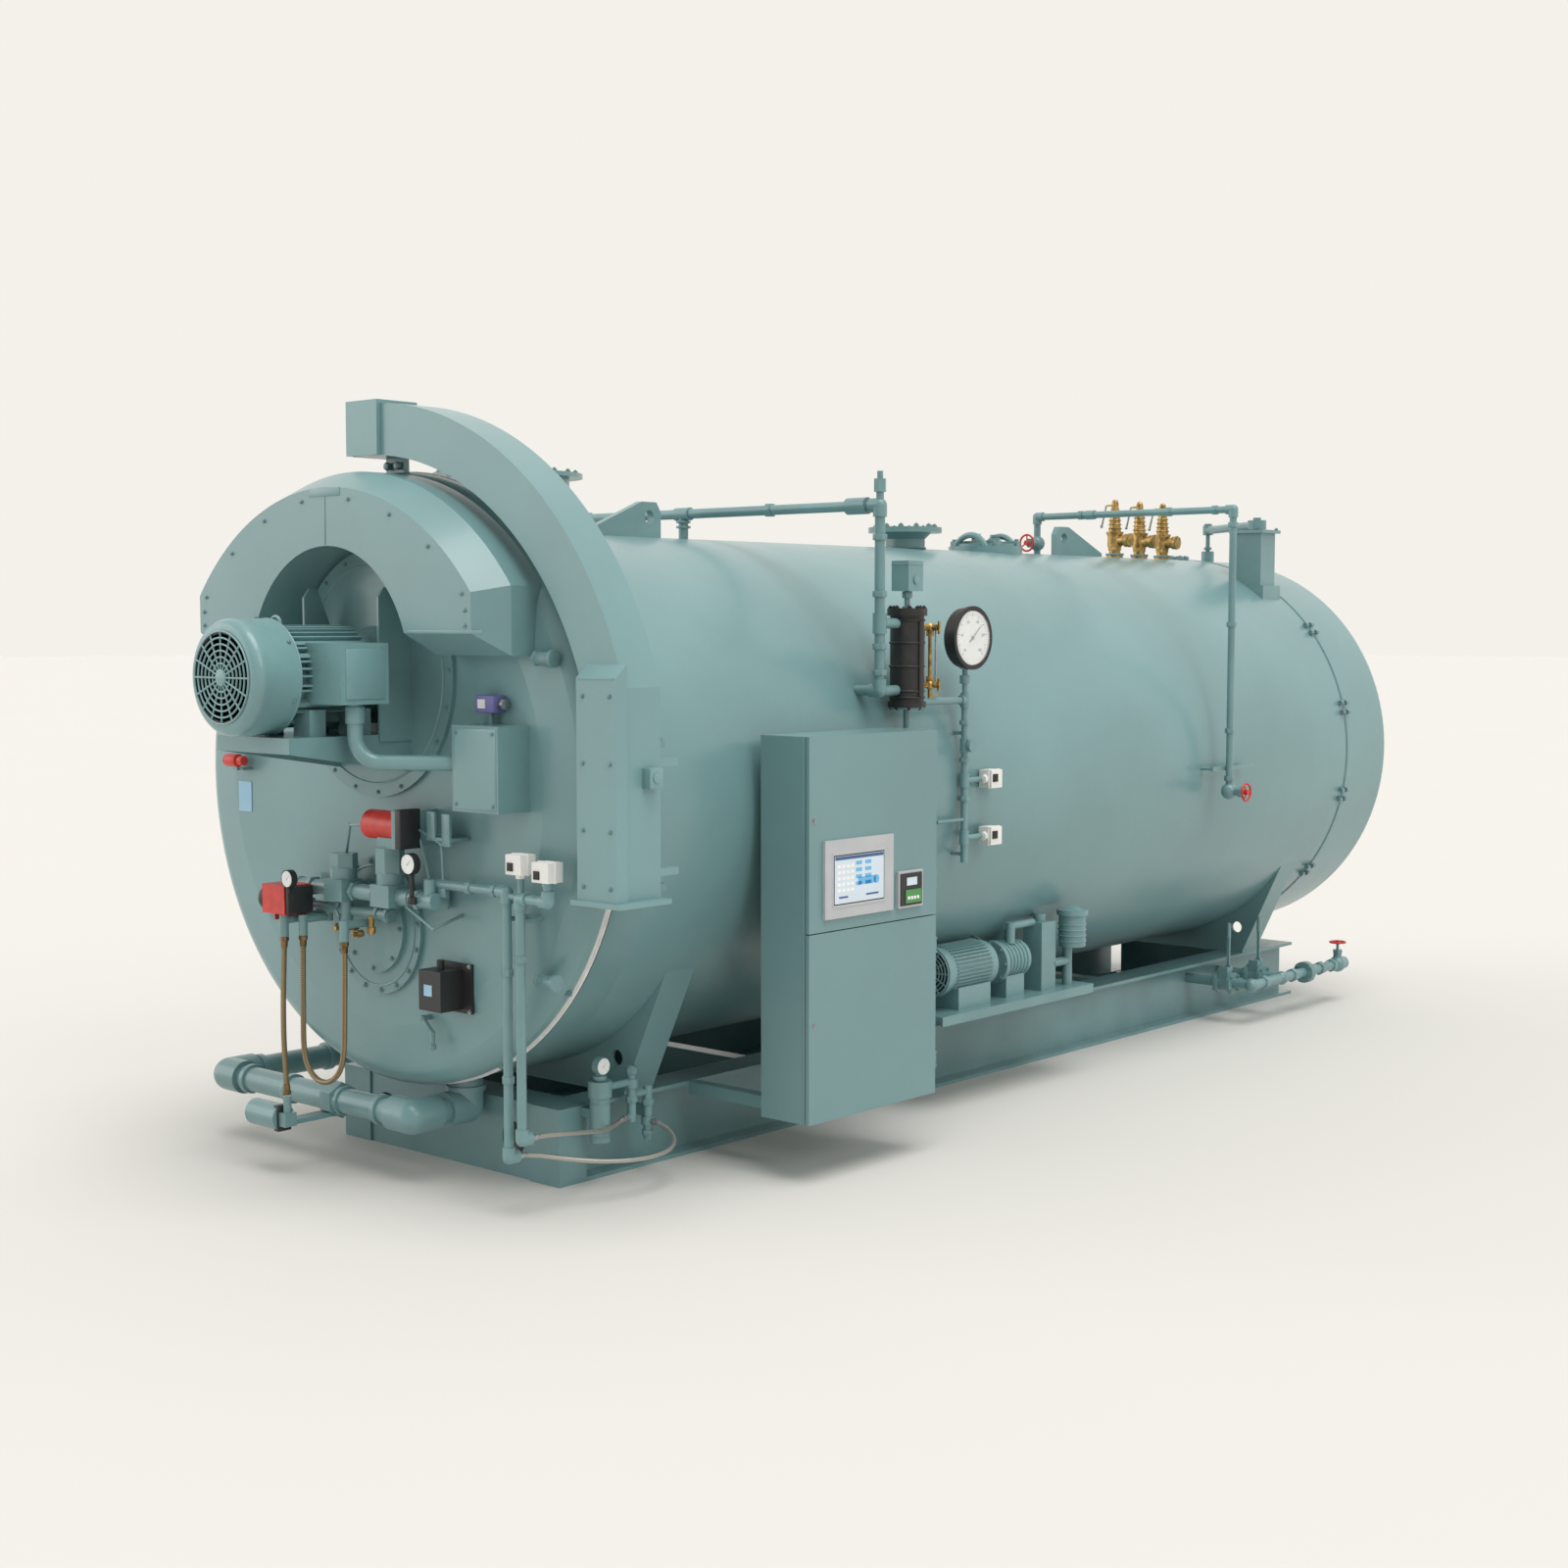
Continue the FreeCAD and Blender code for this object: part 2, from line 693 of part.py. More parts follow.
def make_blower_motor():
    """Motor frame, end bell, feet and lifting eye."""
    back = seat_plane - 100
    start = back - motor_length
    pieces = [rod(0, start, blower_height, "+y", motor_length, motor_radius),
              rod(0, back - 45, blower_height, "+y", 45, motor_radius + 22),
              rod(0, start + 45, blower_height + motor_radius - 10, "+z", 35, 16),
              hoop(0, start + 45, blower_height + motor_radius + 52, "+y", 30, 8)]
    for x in (-1, 1):
        x0, x1 = sorted((x * 90, x * 200))
        for y in (start + 60, back - 150):
            pieces.append(block(x0, x1, y, y + 80, shelf_top, shelf_top + 110))
    return sub_part("blower_motor", fuse(pieces))


def make_motor_cowl():
    """Fan cowl on the motor's free end."""
    start = seat_plane - 100 - motor_length - cowl_length
    return sub_part("motor_cowl", turned("cowl_body", [
        (0, 0),
        (0, cowl_radius - 45, 45),
        (45, cowl_radius),
        (cowl_length, cowl_radius),
        (cowl_length, 0)], 0, start, blower_height))


def make_motor_shelf():
    """Bent shelf on gussets, with the two upright motor brackets."""
    front = seat_plane - 620
    reach = seat_plane
    pieces = [block(-shelf_half_width, shelf_half_width, front, reach,
                    shelf_top - shelf_plate, shelf_top),
              block(-shelf_half_width, shelf_half_width, front, front + 12,
                    shelf_top - 65, shelf_top - shelf_plate)]
    gusset = [(front, shelf_top - 65), (front, shelf_top - 5), (reach, shelf_top - 5),
              (reach, shelf_top - 165)]
    bracket = [(reach - 170, shelf_top - 30), (reach - 170, 2530), (reach - 140, 2570),
               (reach - 100, 2570), (reach, 2330), (reach, shelf_top - 30)]
    for side in (-1, 1):
        edge = side * shelf_half_width
        pieces.append(slab(gusset, "x", edge - (12 if side > 0 else 0), 12))
        pieces.append(slab(bracket, "x", edge - (0 if side > 0 else 12), 12))
    return sub_part("motor_shelf", fuse(pieces))


def make_motor_conduit():
    """Terminal box on the motor's side and the conduit down to the junction box."""
    y0 = seat_plane - 470
    box = cut(block(100, 400, y0, y0 + 240, 2090, 2340), [made["blower_motor"]])
    pipe = swept("conduit", [(330, y0 + 120, 2092), (330, y0 + 120, 1850),
                             (701, seat_plane - 80, 1850)], 32, report=False)
    trimmed = cut(pipe, [made["junction_box"]])
    return sub_part("motor_conduit", fuse([box, trimmed]))


def make_junction_box():
    """Electrical box on the door, with the air switch above it."""
    y0 = door_face - 170
    pieces = [block(700, 980, y0, door_face, 1660, 2010),
              block(725, 835, door_face - 60, door_face, 2060, 2125),
              rod(780, door_face - 30, 2005, "+z", 60, 12),
              rod(834, door_face - 30, 2092, "+x", 30, 12)]
    return sub_part("junction_box", fuse(pieces))


def make_gas_manifold():
    """Fuel and pilot piping across the burner with its two valve bodies."""
    y = door_face - 130
    low = 1180
    high = 1270
    pieces = [rod(-430, y, high, "+x", 920, 32),
              rod(-400, y + 20, low, "+x", 620, 24),
              rod(-60, y, low - 60, "+z", 150, 26),
              rod(240, y, high, "+z", 60, 40)]
    for x in (-330, 330, 450):
        pieces.append(rod(x, y, high, "+y", 110, 20))
        pieces.append(block(x - 45, x + 45, door_face - 32, door_face - 20, high - 45, high + 45))
        pieces.append(rod(x, door_face - 32, high, "+y", 32, 20))
    for x, top in ((-80, 1430), (240, 1475)):
        pieces.append(block(x - 62, x + 62, y - 60, y + 50, high - 45, high + 50))
        pieces.append(rod(x, y, high + 40, "+z", 60, 58))
        pieces.append(hexagon(x, y, high + 95, "+z", top - high - 95, 62))
    for x in (-430, -150, 90, 330, 490):
        pieces.append(tee(x, y, high, "x", Size(26, "26")))
    pieces += [rod(-400, y + 20, low, "+z", high - low, 22),
               rod(-280, y + 20, low, "-z", 60, 22),
               rod(-280, y + 20, low - 40, "-y", y + 20 - hose_front, 20),
               rod(-280, hose_front, low - 20, "-z", 95, 20),
               rod(-220, y + 20, low, "-z", 60, 20),
               rod(-220, y + 20, low - 40, "-y", y + 20 - loop_front, 18),
               rod(-220, loop_front, low - 20, "-z", 90, 20),
               rod(70, y + 20, low, "-z", 60, 20),
               rod(70, y + 20, low - 40, "-y", y + 20 - loop_front, 18),
               rod(70, loop_front, low - 20, "-z", 90, 20)]
    return sub_part("gas_manifold", fuse(pieces))


def make_gas_actuators():
    """Two electric actuators, each on its bracket off the door."""
    y = door_face - 130
    upper = [rod(120, y, 1570, "+x", 260, 62),
             block(340, 400, door_face - 200, door_face, 1490, 1640),
             block(205, 345, y - 40, y + 40, 1475, 1520)]
    left = [block(-395, -235, y - 200, y - 60, 1164, 1290),
            block(-424, -388, y - 140, y - 70, 1125, 1210),
            block(-424, -390, y - 140, door_face, 1125, 1152)]
    return sub_part("gas_actuators", group([fuse(upper), fuse(left)]))


def make_flame_scanner():
    """Ignition transformer box on its four-hole plate."""
    pieces = [block(400, 620, door_face - 12, door_face, 790, 1000),
              block(420, 560, door_face - 130, door_face - 11, 805, 975),
              rod(490, door_face - 70, 974, "+z", 40, 16)]
    return sub_part("ignition_box", fuse(pieces))


def make_fuel_pipes():
    """The two tall air and fuel lines, their headers and the elbows to the hoses."""
    y = door_face - 100
    low = door_face - 60
    first = [(500, y, 1340), (945, y, 1340), (945, y, 255), (945, low, 255)]
    second = [(1190, y, 1400), (1190, y, 1320), (1025, y, 1320), (1025, y, 340),
              (1025, low, 340)]
    pieces = pipe_run(first, fuel_pipe_radius) + pipe_run(second, fuel_pipe_radius)
    pieces.append(rod(1030, y, 1320, "+z", 100, 14))
    pieces.append(rod(500, y - 30, 1270, "+z", 90, 26))
    pieces.append(rod(945, y, 1326, "+x", 85, 14))
    for x, z in ((945, 1230), (1025, 1230)):
        pieces.append(rod(x, y, z, "+y", 220, 10))
    return sub_part("fuel_pipes", cut(fuse(pieces), [made["front_door"],
                                                     made["gas_manifold"]]))


def make_fuel_switches():
    y = door_face - 100
    pieces = [block(985, 1075, y - 40, y + 40, 1420, 1500),
              block(1140, 1235, y - 40, y + 40, 1400, 1480)]
    return sub_part("fuel_switches", group(pieces))


# ---------------------------------------------------------------- roof fittings
def make_flue_outlet():
    y = 300
    top = axis_height + shell_radius
    pieces = [rod(0, y, top - 319, "+z", 560, 280),
              rod(0, y, top + 241, "+z", 20, 340)]
    hollow = rod(0, y, top + 21, "+z", 300, 270)
    return sub_part("flue_outlet", cut(fuse(pieces), [hollow, made["boiler_shell"]]))


def make_lifting_lugs():
    top = axis_height + shell_radius
    front = slab([(770, top - 15), (1270, top - 15), (1270, top + 125), (1240, top + 172),
                  (1140, top + 172), (770, top + 20)], "x", -20, 40)
    rear = slab([(5200, top - 15), (4700, top - 15), (4700, top + 125), (4730, top + 172),
                 (4830, top + 172), (5200, top + 20)], "x", -20, 40)
    eyes = [rod(-30, y, top + 100, "+x", 60, 32) for y in (1190, 4780)]
    return sub_part("lifting_lugs", cut(group([front, rear]), eyes + [made["boiler_shell"]]))


def make_steam_nozzle():
    y = 3230
    top = axis_height + shell_radius
    pieces = [rod(0, y, top - 119, "+z", 205, 110),
              taper(0, y, top + 51, "+z", 40, 110, 150),
              rod(0, y, top + 86, "+z", 30, 205)]
    bore = rod(0, y, top + 6, "+z", 120, 95)
    return sub_part("steam_nozzle", cut(fuse(pieces), [bore, made["boiler_shell"]]))


def make_manway():
    """Oval access cover with its two yokes."""
    y = 3990
    top = axis_height + shell_radius
    pieces = [rod(0, y, top - 60, "+z", 90, 215),
              rod(0, y, top + 29, "+z", 16, 175)]
    for place in (y - 95, y + 95):
        pieces.append(block(-170, 170, place - 18, place + 18, top + 40, top + 62))
        pieces.append(block(-170, -140, place - 18, place + 18, top + 20, top + 60))
        pieces.append(block(140, 170, place - 18, place + 18, top + 20, top + 60))
        pieces.append(rod(0, place, top + 40, "+z", 55, 14))
        pieces.append(hexagon(0, place, top + 62, "+z", 22, 26))
    return sub_part("manway", cut(fuse(pieces), [made["boiler_shell"]]))


def make_equalizing_pipe():
    """Line over the shell, down both flanks, with its tees, union and vent cock."""
    y = 1450
    high = axis_height + shell_radius + 123
    side = column_across
    route = [(-side + 140, y, 2110), (-side, y, 2110), (-side, y, high), (side, y, high),
             (side, y, 2110), (side - 140, y, 2110)]
    pieces = pipe_run(route, steam_pipe_radius)
    pieces += [rod(0, y, high, "-z", 180, steam_pipe_radius),
               tee(0, y, high, "x", steam_pipe_radius),
               tee(side - 130, y, high, "x", steam_pipe_radius * 1.2),
               tee(side, y, 2420, "z", steam_pipe_radius),
               rod(side, y, 2420, "+y", 125, steam_pipe_radius),
               rod(side, y, 2110, "+y", 125, steam_pipe_radius),
               rod(side, y, high, "+z", 90, 18),
               hexagon(side, y, high + 60, "+z", 60, 30),
               rod(side, y, high + 115, "+z", 40, 14)]
    return sub_part("equalizing_pipe", cut(fuse(pieces), [made["boiler_shell"],
                                                          column_barrel()]))


def column_barrel():
    return rod(column_across, 1655, 2020, "+z", 460, column_radius)


def make_water_column():
    """Black level column with its probe head above and drain line below."""
    pieces = [column_barrel(),
              rod(column_across, 1655, 2455, "+z", 35, column_radius + 14),
              rod(column_across, 1655, 2030, "+z", 25, column_radius + 10),
              rod(column_across, 1655, 2480, "+z", 95, 14),
              block(column_across - 50, column_across + 50, 1600, 1710, 2570, 2710),
              rod(column_across, 1655, 620, "+z", 1410, small_pipe_radius),
              rod(column_across, 1655, 640, "+z", 60, 32)]
    for z in (1700, 1150):
        pieces.append(rod(column_across, 1655, z, "-x", 240, 9))
    return sub_part("water_column", cut(fuse(pieces), [made["boiler_shell"]]))


def make_gauge_glass():
    """Glass between two brass cocks, guarded by two rods."""
    x, y = column_across, 1830
    reach = 1655 + column_radius
    pieces = [rod(x, reach, 2400, "+y", 110, 13), rod(x, reach, 2130, "+y", 110, 13),
              rod(x, y, 2110, "+z", 310, 9)]
    for z in (2130, 2400):
        pieces.append(ball(x, y, z, 24))
        pieces.append(rod(x, y, z, "+x", 55, 8))
        pieces.append(block(x + 50, x + 58, y - 6, y + 6, z - 30, z + 30))
        pieces.append(block(x - 40, x + 40, y - 9, y + 9, z - 5, z + 5))
    for dx in (-34, 34):
        pieces.append(rod(x + dx, y, 2130, "+z", 270, 4))
    return sub_part("gauge_glass", cut(fuse(pieces), [made["water_column"]]))


def make_pressure_gauge():
    """Round black case that faces outwards, on a syphon stem."""
    case = turned("gauge_case", [(0, 0), (0, gauge_radius - 20, 20), (20, gauge_radius),
                                 (62, gauge_radius), (62, gauge_radius + 8),
                                 (80, gauge_radius + 8), (80, gauge_radius - 12),
                                 (70, gauge_radius - 12), (70, 0)],
                  column_across - 30, 2110, 2350, "x")
    return sub_part("pressure_gauge", fuse([case]))


def make_control_pipe():
    """Riser that feeds the gauge and the two pressure switches."""
    x, y = column_across, 2110
    pieces = pipe_run([(x, 1655 + column_radius, 2050), (x, y, 2050), (x, y, 1260)],
                      small_pipe_radius)
    pieces += [rod(x, y, 2050, "+z", 200, 14),
               rod(x, y, 2130, "+z", 40, 26),
               tee(x, y, 2050, "z", small_pipe_radius),
               rod(x, y, 1830, "+x", 40, 14),
               rod(x + 35, y, 1830, "+x", 16, 30),
               tee(x, y, 1830, "z", small_pipe_radius),
               rod(x, y, 1470, "-y", 220, 9)]
    for z in (1660, 1380):
        pieces += [tee(x, y, z, "z", small_pipe_radius), rod(x, y, z, "+y", 150, 13)]
    for z in (1890, 1300):
        pieces.append(rod(x, y, z, "-x", 200, 9))
    pieces.append(rod(x, y - 215, 1470, "-x", 100, 9))
    return sub_part("control_pipe", cut(fuse(pieces), [made["boiler_shell"],
                                                       made["pressure_gauge"],
                                                       made["water_column"]]))


def make_pressure_switches():
    x = column_across - 22
    pieces = [block(x, x + 75, 2260, 2350, z, z + 88) for z in (1616, 1336)]
    return sub_part("pressure_switches", group(pieces))


def make_vent_pipe():
    """Vent line: globe valve on the crown, over to the flank and down to its valve."""
    y = 4520
    top = axis_height + shell_radius
    high = top + 223
    side = shell_radius + 111
    route = [(0, y, top - 40), (0, y, high), (side, y, high), (side, y, 1430)]
    pieces = pipe_run(route, fuel_pipe_radius)
    pieces += [ball(0, y, top + 65, 46),
               rod(0, y, top + 65, "-y", 75, 24),
               hexagon(0, y - 60, top + 65, "-y", 20, 30),
               rod(0, y - 75, top + 65, "-y", 33, 9),
               ball(side, y, 1470, 46),
               rod(side, y, 1470, "+x", 75, 24),
               hexagon(side + 60, y, 1470, "+x", 20, 30),
               rod(side + 70, y, 1470, "+x", 40, 9),
               block(side - 40, side - 18, y - 150, y + 320, 1590, 1612),
               rod(350, y, high, "+x", 60, 27)]
    for place in (y - 120, y + 290):
        pieces.append(rod(side - 30, place, 1601, "-x", 150, 10))
    return sub_part("vent_pipe", cut(fuse(pieces), [made["boiler_shell"]]))


def make_handwheel(label, x, y, z, axis):
    """Rim, three spokes and a hub that grips the stem; the hub's bore clears it."""
    way = AXES[axis[-1]] * (-1 if axis.startswith("-") else 1)
    base = Vector(float(x), float(y), float(z))
    rim_centre = base + way * 12
    pieces = [hoop(rim_centre.x, rim_centre.y, rim_centre.z, axis, wheel_radius, 6),
              rod(base.x, base.y, base.z, axis, 24, 15)]
    turn = heading(axis)
    for angle in (90, 210, 330):
        out = turn.multVec(Vector(math.cos(math.radians(angle)),
                                  math.sin(math.radians(angle)), 0))
        spoke = fresh("Part::Cylinder", "spoke")
        put(spoke, "Radius", 4)
        put(spoke, "Height", wheel_radius)
        start = rim_centre
        spoke.Placement = Placement(start, Rotation(Vector(0, 0, 1), out))
        pieces.append(spoke)
    stem = rod(base.x - way.x, base.y - way.y, base.z - way.z, axis, 14, 9 + pin_clearance)
    return sub_part(label, cut(fuse(pieces), [stem]))


def make_safety_valves():
    """Three spring relief valves in a row on the crown."""
    top = axis_height + shell_radius
    valves = []
    for y in (5380, 5670, 5950):
        boss = cut(rod(0, y, top - 40, "+z", 65, 52), [made["boiler_shell"]])
        pieces = [boss, rod(0, y, top + 24, "+z", 40, 36),
                  hexagon(0, y, top + 45, "+z", 24, 46), rod(0, y, top + 68, "+z", 75, 46),
                  rod(0, y, top + 106, "+x", 105, 32), rod(80, y, top + 106, "+x", 30, 41),
                  rod(0, y, top + 142, "+z", 20, 52),
                  taper(0, y, top + 161, "+z", 130, 38, 28),
                  rod(0, y, top + 290, "+z", 50, 22), ball(0, y, top + 345, 20),
                  block(-60, 12, y - 5, y + 5, top + 322, top + 334)]
        valves.append(fuse(pieces))
    return sub_part("safety_valves", group(valves))


# ---------------------------------------------------------------- cabinet
CABINET_HINGES = (400, 930, 1230, 1780)


def make_cabinet_body():
    """Hollow control cabinet, its mid shelf, rail arms and shell pads."""
    y0, y1 = cabinet_place, cabinet_place + cabinet_width
    z0, z1 = cabinet_foot, cabinet_foot + cabinet_height
    wall = cabinet_wall
    full = block(cabinet_inner, cabinet_face, y0, y1, z0, z1)
    rooms = [block(cabinet_inner + wall, cabinet_face + 1, y0 + wall, y1 - wall,
                   z0 + wall, cabinet_split - wall / 2),
             block(cabinet_inner + wall, cabinet_face + 1, y0 + wall, y1 - wall,
                   cabinet_split + wall / 2, z1 - wall)]
    pieces = [cut(full, rooms)]
    for y in (y0 + 90, y1 - 150):
        pieces.append(block(skid_half_width, cabinet_inner + 4, y, y + 60,
                            skid_height - 60, skid_height - 4))
        pieces.append(block(shell_radius - 30, cabinet_inner + 4, y, y + 60, 1580, 1640))
    for z in CABINET_HINGES:
        for low in (z - 16, z + 46):
            pieces.append(block(cabinet_face - 32, cabinet_face, y1 - 1, y1 + 22, low, low + 12))
            pieces.append(block(cabinet_face - 1, cabinet_face + 15, y1 + 7, y1 + 21,
                                low, low + 12))
        pieces.append(rod(cabinet_face + 8, y1 + 14, z - 16, "+z", 74, 4))
    return sub_part("cabinet_body", cut(fuse(pieces), [made["boiler_shell"]]))


def make_cabinet_door(label, z0, z1):
    """Sheet door with two hinge barrels past its rear edge."""
    y0, y1 = cabinet_place, cabinet_place + cabinet_width
    x = cabinet_face + panel_gap
    pieces = [block(x, x + panel_door, y0, y1, z0, z1)]
    bores = []
    for z in CABINET_HINGES:
        if float(z0) < z < float(z1):
            pieces.append(rod(cabinet_face + 8, y1 + 14, z, "+z", 42, 7))
            pieces.append(block(x, x + 6, y1 - 1, y1 + 14, z, z + 42))
            bores.append(rod(cabinet_face + 8, y1 + 14, z - 1, "+z", 44, 4 + pin_clearance))
    return sub_part(label, cut(fuse(pieces), bores))


def make_operator_screen():
    """Touch-screen bezel and a small controller beside it."""
    x = cabinet_face + panel_gap + panel_door
    pieces = [block(x, x + 14, 700, 1170, 1150, 1490), block(x, x + 16, 1205, 1380, 1150, 1315)]
    return sub_part("operator_screen", group(pieces))


# ---------------------------------------------------------------- compressor
def make_compressor_tray():
    pieces = [block(760, 1150, 2080, 3420, 470, 488),
              block(1138, 1150, 2080, 3420, 440, 471)]
    for y in (2160, 3260):
        pieces.append(slab([(600, skid_height), (730, skid_height), (1120, 440), (1120, 471),
                            (600, 471)], "y", y, 50))
    return sub_part("compressor_tray", cut(fuse(pieces), [made["boiler_shell"]]))


def make_air_compressor():
    """Foot motor with its round guard, coupled to a vane pump."""
    x = 980
    pieces = [rod(x, 2230, 680, "+y", 390, 118), rod(x, 2195, 680, "+y", 36, 128),
              block(x - 110, x + 110, 2290, 2560, 488, 600),
              rod(x, 2600, 680, "+y", 130, 40),
              rod(x, 2710, 670, "+y", 230, 98), rod(x, 2705, 670, "+y", 30, 112),
              block(x - 80, x + 80, 2740, 2900, 488, 600),
              rod(x + 40, 2830, 760, "+z", 110, 24), rod(x - 15, 2890, 760, "+z", 60, 22),
              rod(x + 40, 2830, 850, "+y", 200, 20)]
    return sub_part("air_compressor", fuse(pieces))


def make_air_separator():
    """Upright separator box and the intake filter cup."""
    pieces = [block(960, 1080, 3030, 3160, 488, 850), rod(1020, 3095, 849, "+z", 40, 34),
              rod(1060, 3155, 620, "+y", 150, 24),
              rod(1060, 3300, 488, "+z", 250, 26), rod(1090, 3300, 700, "+z", 170, 72),
              rod(1090, 3300, 869, "+z", 28, 84)]
    return sub_part("air_separator", cut(fuse(pieces), [made["air_compressor"],
                                                        made["boiler_shell"]]))


# ---------------------------------------------------------------- blowdown
BLOWDOWN_HEIGHT = 240
BLOWDOWN_RUN = 1100
LEVER_RISE = 80
VALVE_PLACES = (5230, 5600)


def make_blowdown_pipes():
    """Two branches off the rail web, their lever valves, the header and end valve."""
    z, x1 = BLOWDOWN_HEIGHT, BLOWDOWN_RUN
    x0 = skid_half_width - (rail_width - rail_web) / 2
    pieces = []
    for y in VALVE_PLACES:
        pieces += [rod(x0, y, z, "+x", x1 - x0, 30), rod(870, y, z, "+x", 22, 66),
                   rod(960, y, z, "+x", 22, 66), rod(890, y, z, "+x", 72, 46),
                   block(895, 957, y - 40, y + 14, z + 20, z + LEVER_RISE + 16),
                   rod(926, y + 12, z + LEVER_RISE, "+y", 15, 12), ball(x1, y, z, 42)]
    end = 6340
    pieces += [rod(x1, VALVE_PLACES[0], z, "+y", end - VALVE_PLACES[0], 30),
               rod(x1, 5880, z, "+y", 20, 66), rod(x1, 5904, z, "+y", 20, 66),
               rod(x1, 5898, z, "+y", 8, 40), ball(x1, end, z, 52),
               rod(x1, end, z, "+y", 80, 40),
               rod(x1, end, z, "+z", 90, 26), hexagon(x1, end, z + 72, "+z", 20, 32),
               rod(x1, end, z + 90, "+z", 50, 9)]
    return sub_part("blowdown_pipes", fuse(pieces))


def make_blowdown_lever(label, y):
    """Long hand lever on the side of a quick-opening valve."""
    z = BLOWDOWN_HEIGHT + LEVER_RISE
    hub = rod(926, y + 19, z, "+y", 16, 26)
    bar = block(917, 935, y + 20, y + 32, z, z + 240)
    grip = rod(926, y + 26, z + 190, "+z", 90, 13)
    bore = rod(926, y + 10, z, "+y", 18, 12 + pin_clearance)
    return sub_part(label, cut(fuse([hub, bar, grip]), [bore]))


# ---------------------------------------------------------------- gas supply
def make_gas_supply_pipe():
    """Gas loop along the floor in front of the skid, up into the collar."""
    y0 = -480
    z = 300
    route = [(-1120, 250, z), (-1120, y0, z), (230, y0, z), (230, -180, z), (230, -180, 440)]
    pieces = pipe_run(route, gas_pipe_radius)
    pieces += [hexagon(-330, y0, z, "+x", 70, 82), rod(-360, y0, z, "+x", 130, 66),
               rod(-1120, 228, z, "+y", 24, 112), rod(230, -180, 372, "+z", 22, 88)]
    return sub_part("gas_supply_pipe", cut(fuse(pieces), [collar_outside]))


def make_low_gas_actuator():
    """Vent valve actuator on a flat bar off the gas loop."""
    pieces = [rod(-515, hose_front, 262, "+x", 205, 58),
              block(-345, -277, hose_front - 20, -480, 230, 250),
              rod(-280, hose_front, 240, "+z", hose_foot - 246, 18),
              block(-315, -255, hose_front - 30, hose_front + 30, 230, 290)]
    return sub_part("low_gas_actuator", cut(fuse(pieces), [made["gas_supply_pipe"]]))


def make_air_regulator():
    """Filter, regulator and two hose stacks on the right rail."""
    x = 830
    face = skid_half_width
    pieces = [rod(x, 60, 190, "+z", 200, 44), rod(x, 60, 385, "+z", 70, 52),
              rod(x, 60, 450, "+z", 60, 20), rod(x - 10, 60, 520, "+x", 34, 38),
              rod(x, 60, 500, "+z", 14, 10),
              block(face, x - 20, 30, 90, 290, 330),
              rod(x, 60, 420, "+y", 190, 16),
              rod(x, 250, 245, "+z", 245, 20), rod(x, 250, 395, "+z", 40, 30),
              rod(x, 250, 265, "-y", 30, 15), rod(x, 250, 360, "+y", 110, 14),
              rod(x, 350, 150, "+z", 240, 20), rod(x, 350, 215, "+z", 34, 30),
              rod(x, 350, 232, "+x", 34, 16), block(face, x, 340, 360, 250, 300)]
    return sub_part("air_regulator", fuse(pieces))


# ---------------------------------------------------------------- hoses
STRAIGHT_HOSE = [(-280, -760, 1065), (-281, -763, 960), (-285, -768, 800), (-287, -768, 620),
                 (-283, -763, 470), (-280, -760, 368)]
LOOP_HOSE = [(-220, -705, 1070), (-222, -707, 935), (-220, -711, 735), (-219, -714, 585),
             (-192, -717, 500), (-120, -719, 447), (-31, -719, 447), (41, -717, 500),
             (69, -714, 585), (70, -711, 735), (72, -707, 935), (70, -705, 1070)]
UPPER_AIR_HOSE = [(1025, -510, 340), (1024, -440, 337), (1014, -330, 322), (988, -200, 300),
                  (946, -75, 276), (898, 40, 258), (857, 130, 254), (836, 180, 260),
                  (830, 220, 265)]
LOWER_AIR_HOSE = [(945, -510, 255), (950, -430, 244), (985, -320, 214), (1045, -190, 186),
                  (1092, -50, 168), (1110, 90, 160), (1095, 215, 164), (1045, 305, 180),
                  (975, 345, 206), (915, 352, 226), (864, 350, 232)]

hose_front = -760
loop_front = -705
hose_foot = 368
shelf_top = blower_height - cowl_radius - 5


# ---------------------------------------------------------------- rear door
def make_rear_door():
    """Deep rear door with a socket on its crown for the davit's hanger."""
    y0 = shell_length + rear_gap
    shell = turned("rear_door_body", [
        (0, 0),
        (0, rear_door_radius),
        (rear_door_length - rear_door_knuckle, rear_door_radius, rear_door_knuckle),
        (rear_door_length, rear_door_radius - rear_door_knuckle),
        (rear_door_length, 0)], 0, y0, axis_height)
    crown = axis_height + rear_door_radius
    socket = rod(0, hanger_place, crown - 30, "+z", 100, 42)
    bore = rod(0, hanger_place, crown + 20, "+z", 60, 14 + pin_clearance)
    return sub_part("rear_door", cut(fuse([shell, socket]), [bore]))


def make_rear_davit_column():
    """Tapered column on the shell's shoulder, with its cap and pivot pin."""
    x, y = davit_across, davit_place
    foot = davit_height - 690
    pieces = [block(x - 130, x + 110, y - 110, y + 110, foot, davit_height - 330),
              block(x - 110, x + 80, y - 90, y + 90, davit_height - 340, davit_height),
              block(x - 135, x + 105, y - 115, y + 115, davit_height, davit_height + 20),
              rod(x, y, davit_height + 10, "+z", 90, 25)]
    return sub_part("rear_davit_column", cut(fuse(pieces), [made["boiler_shell"]]))


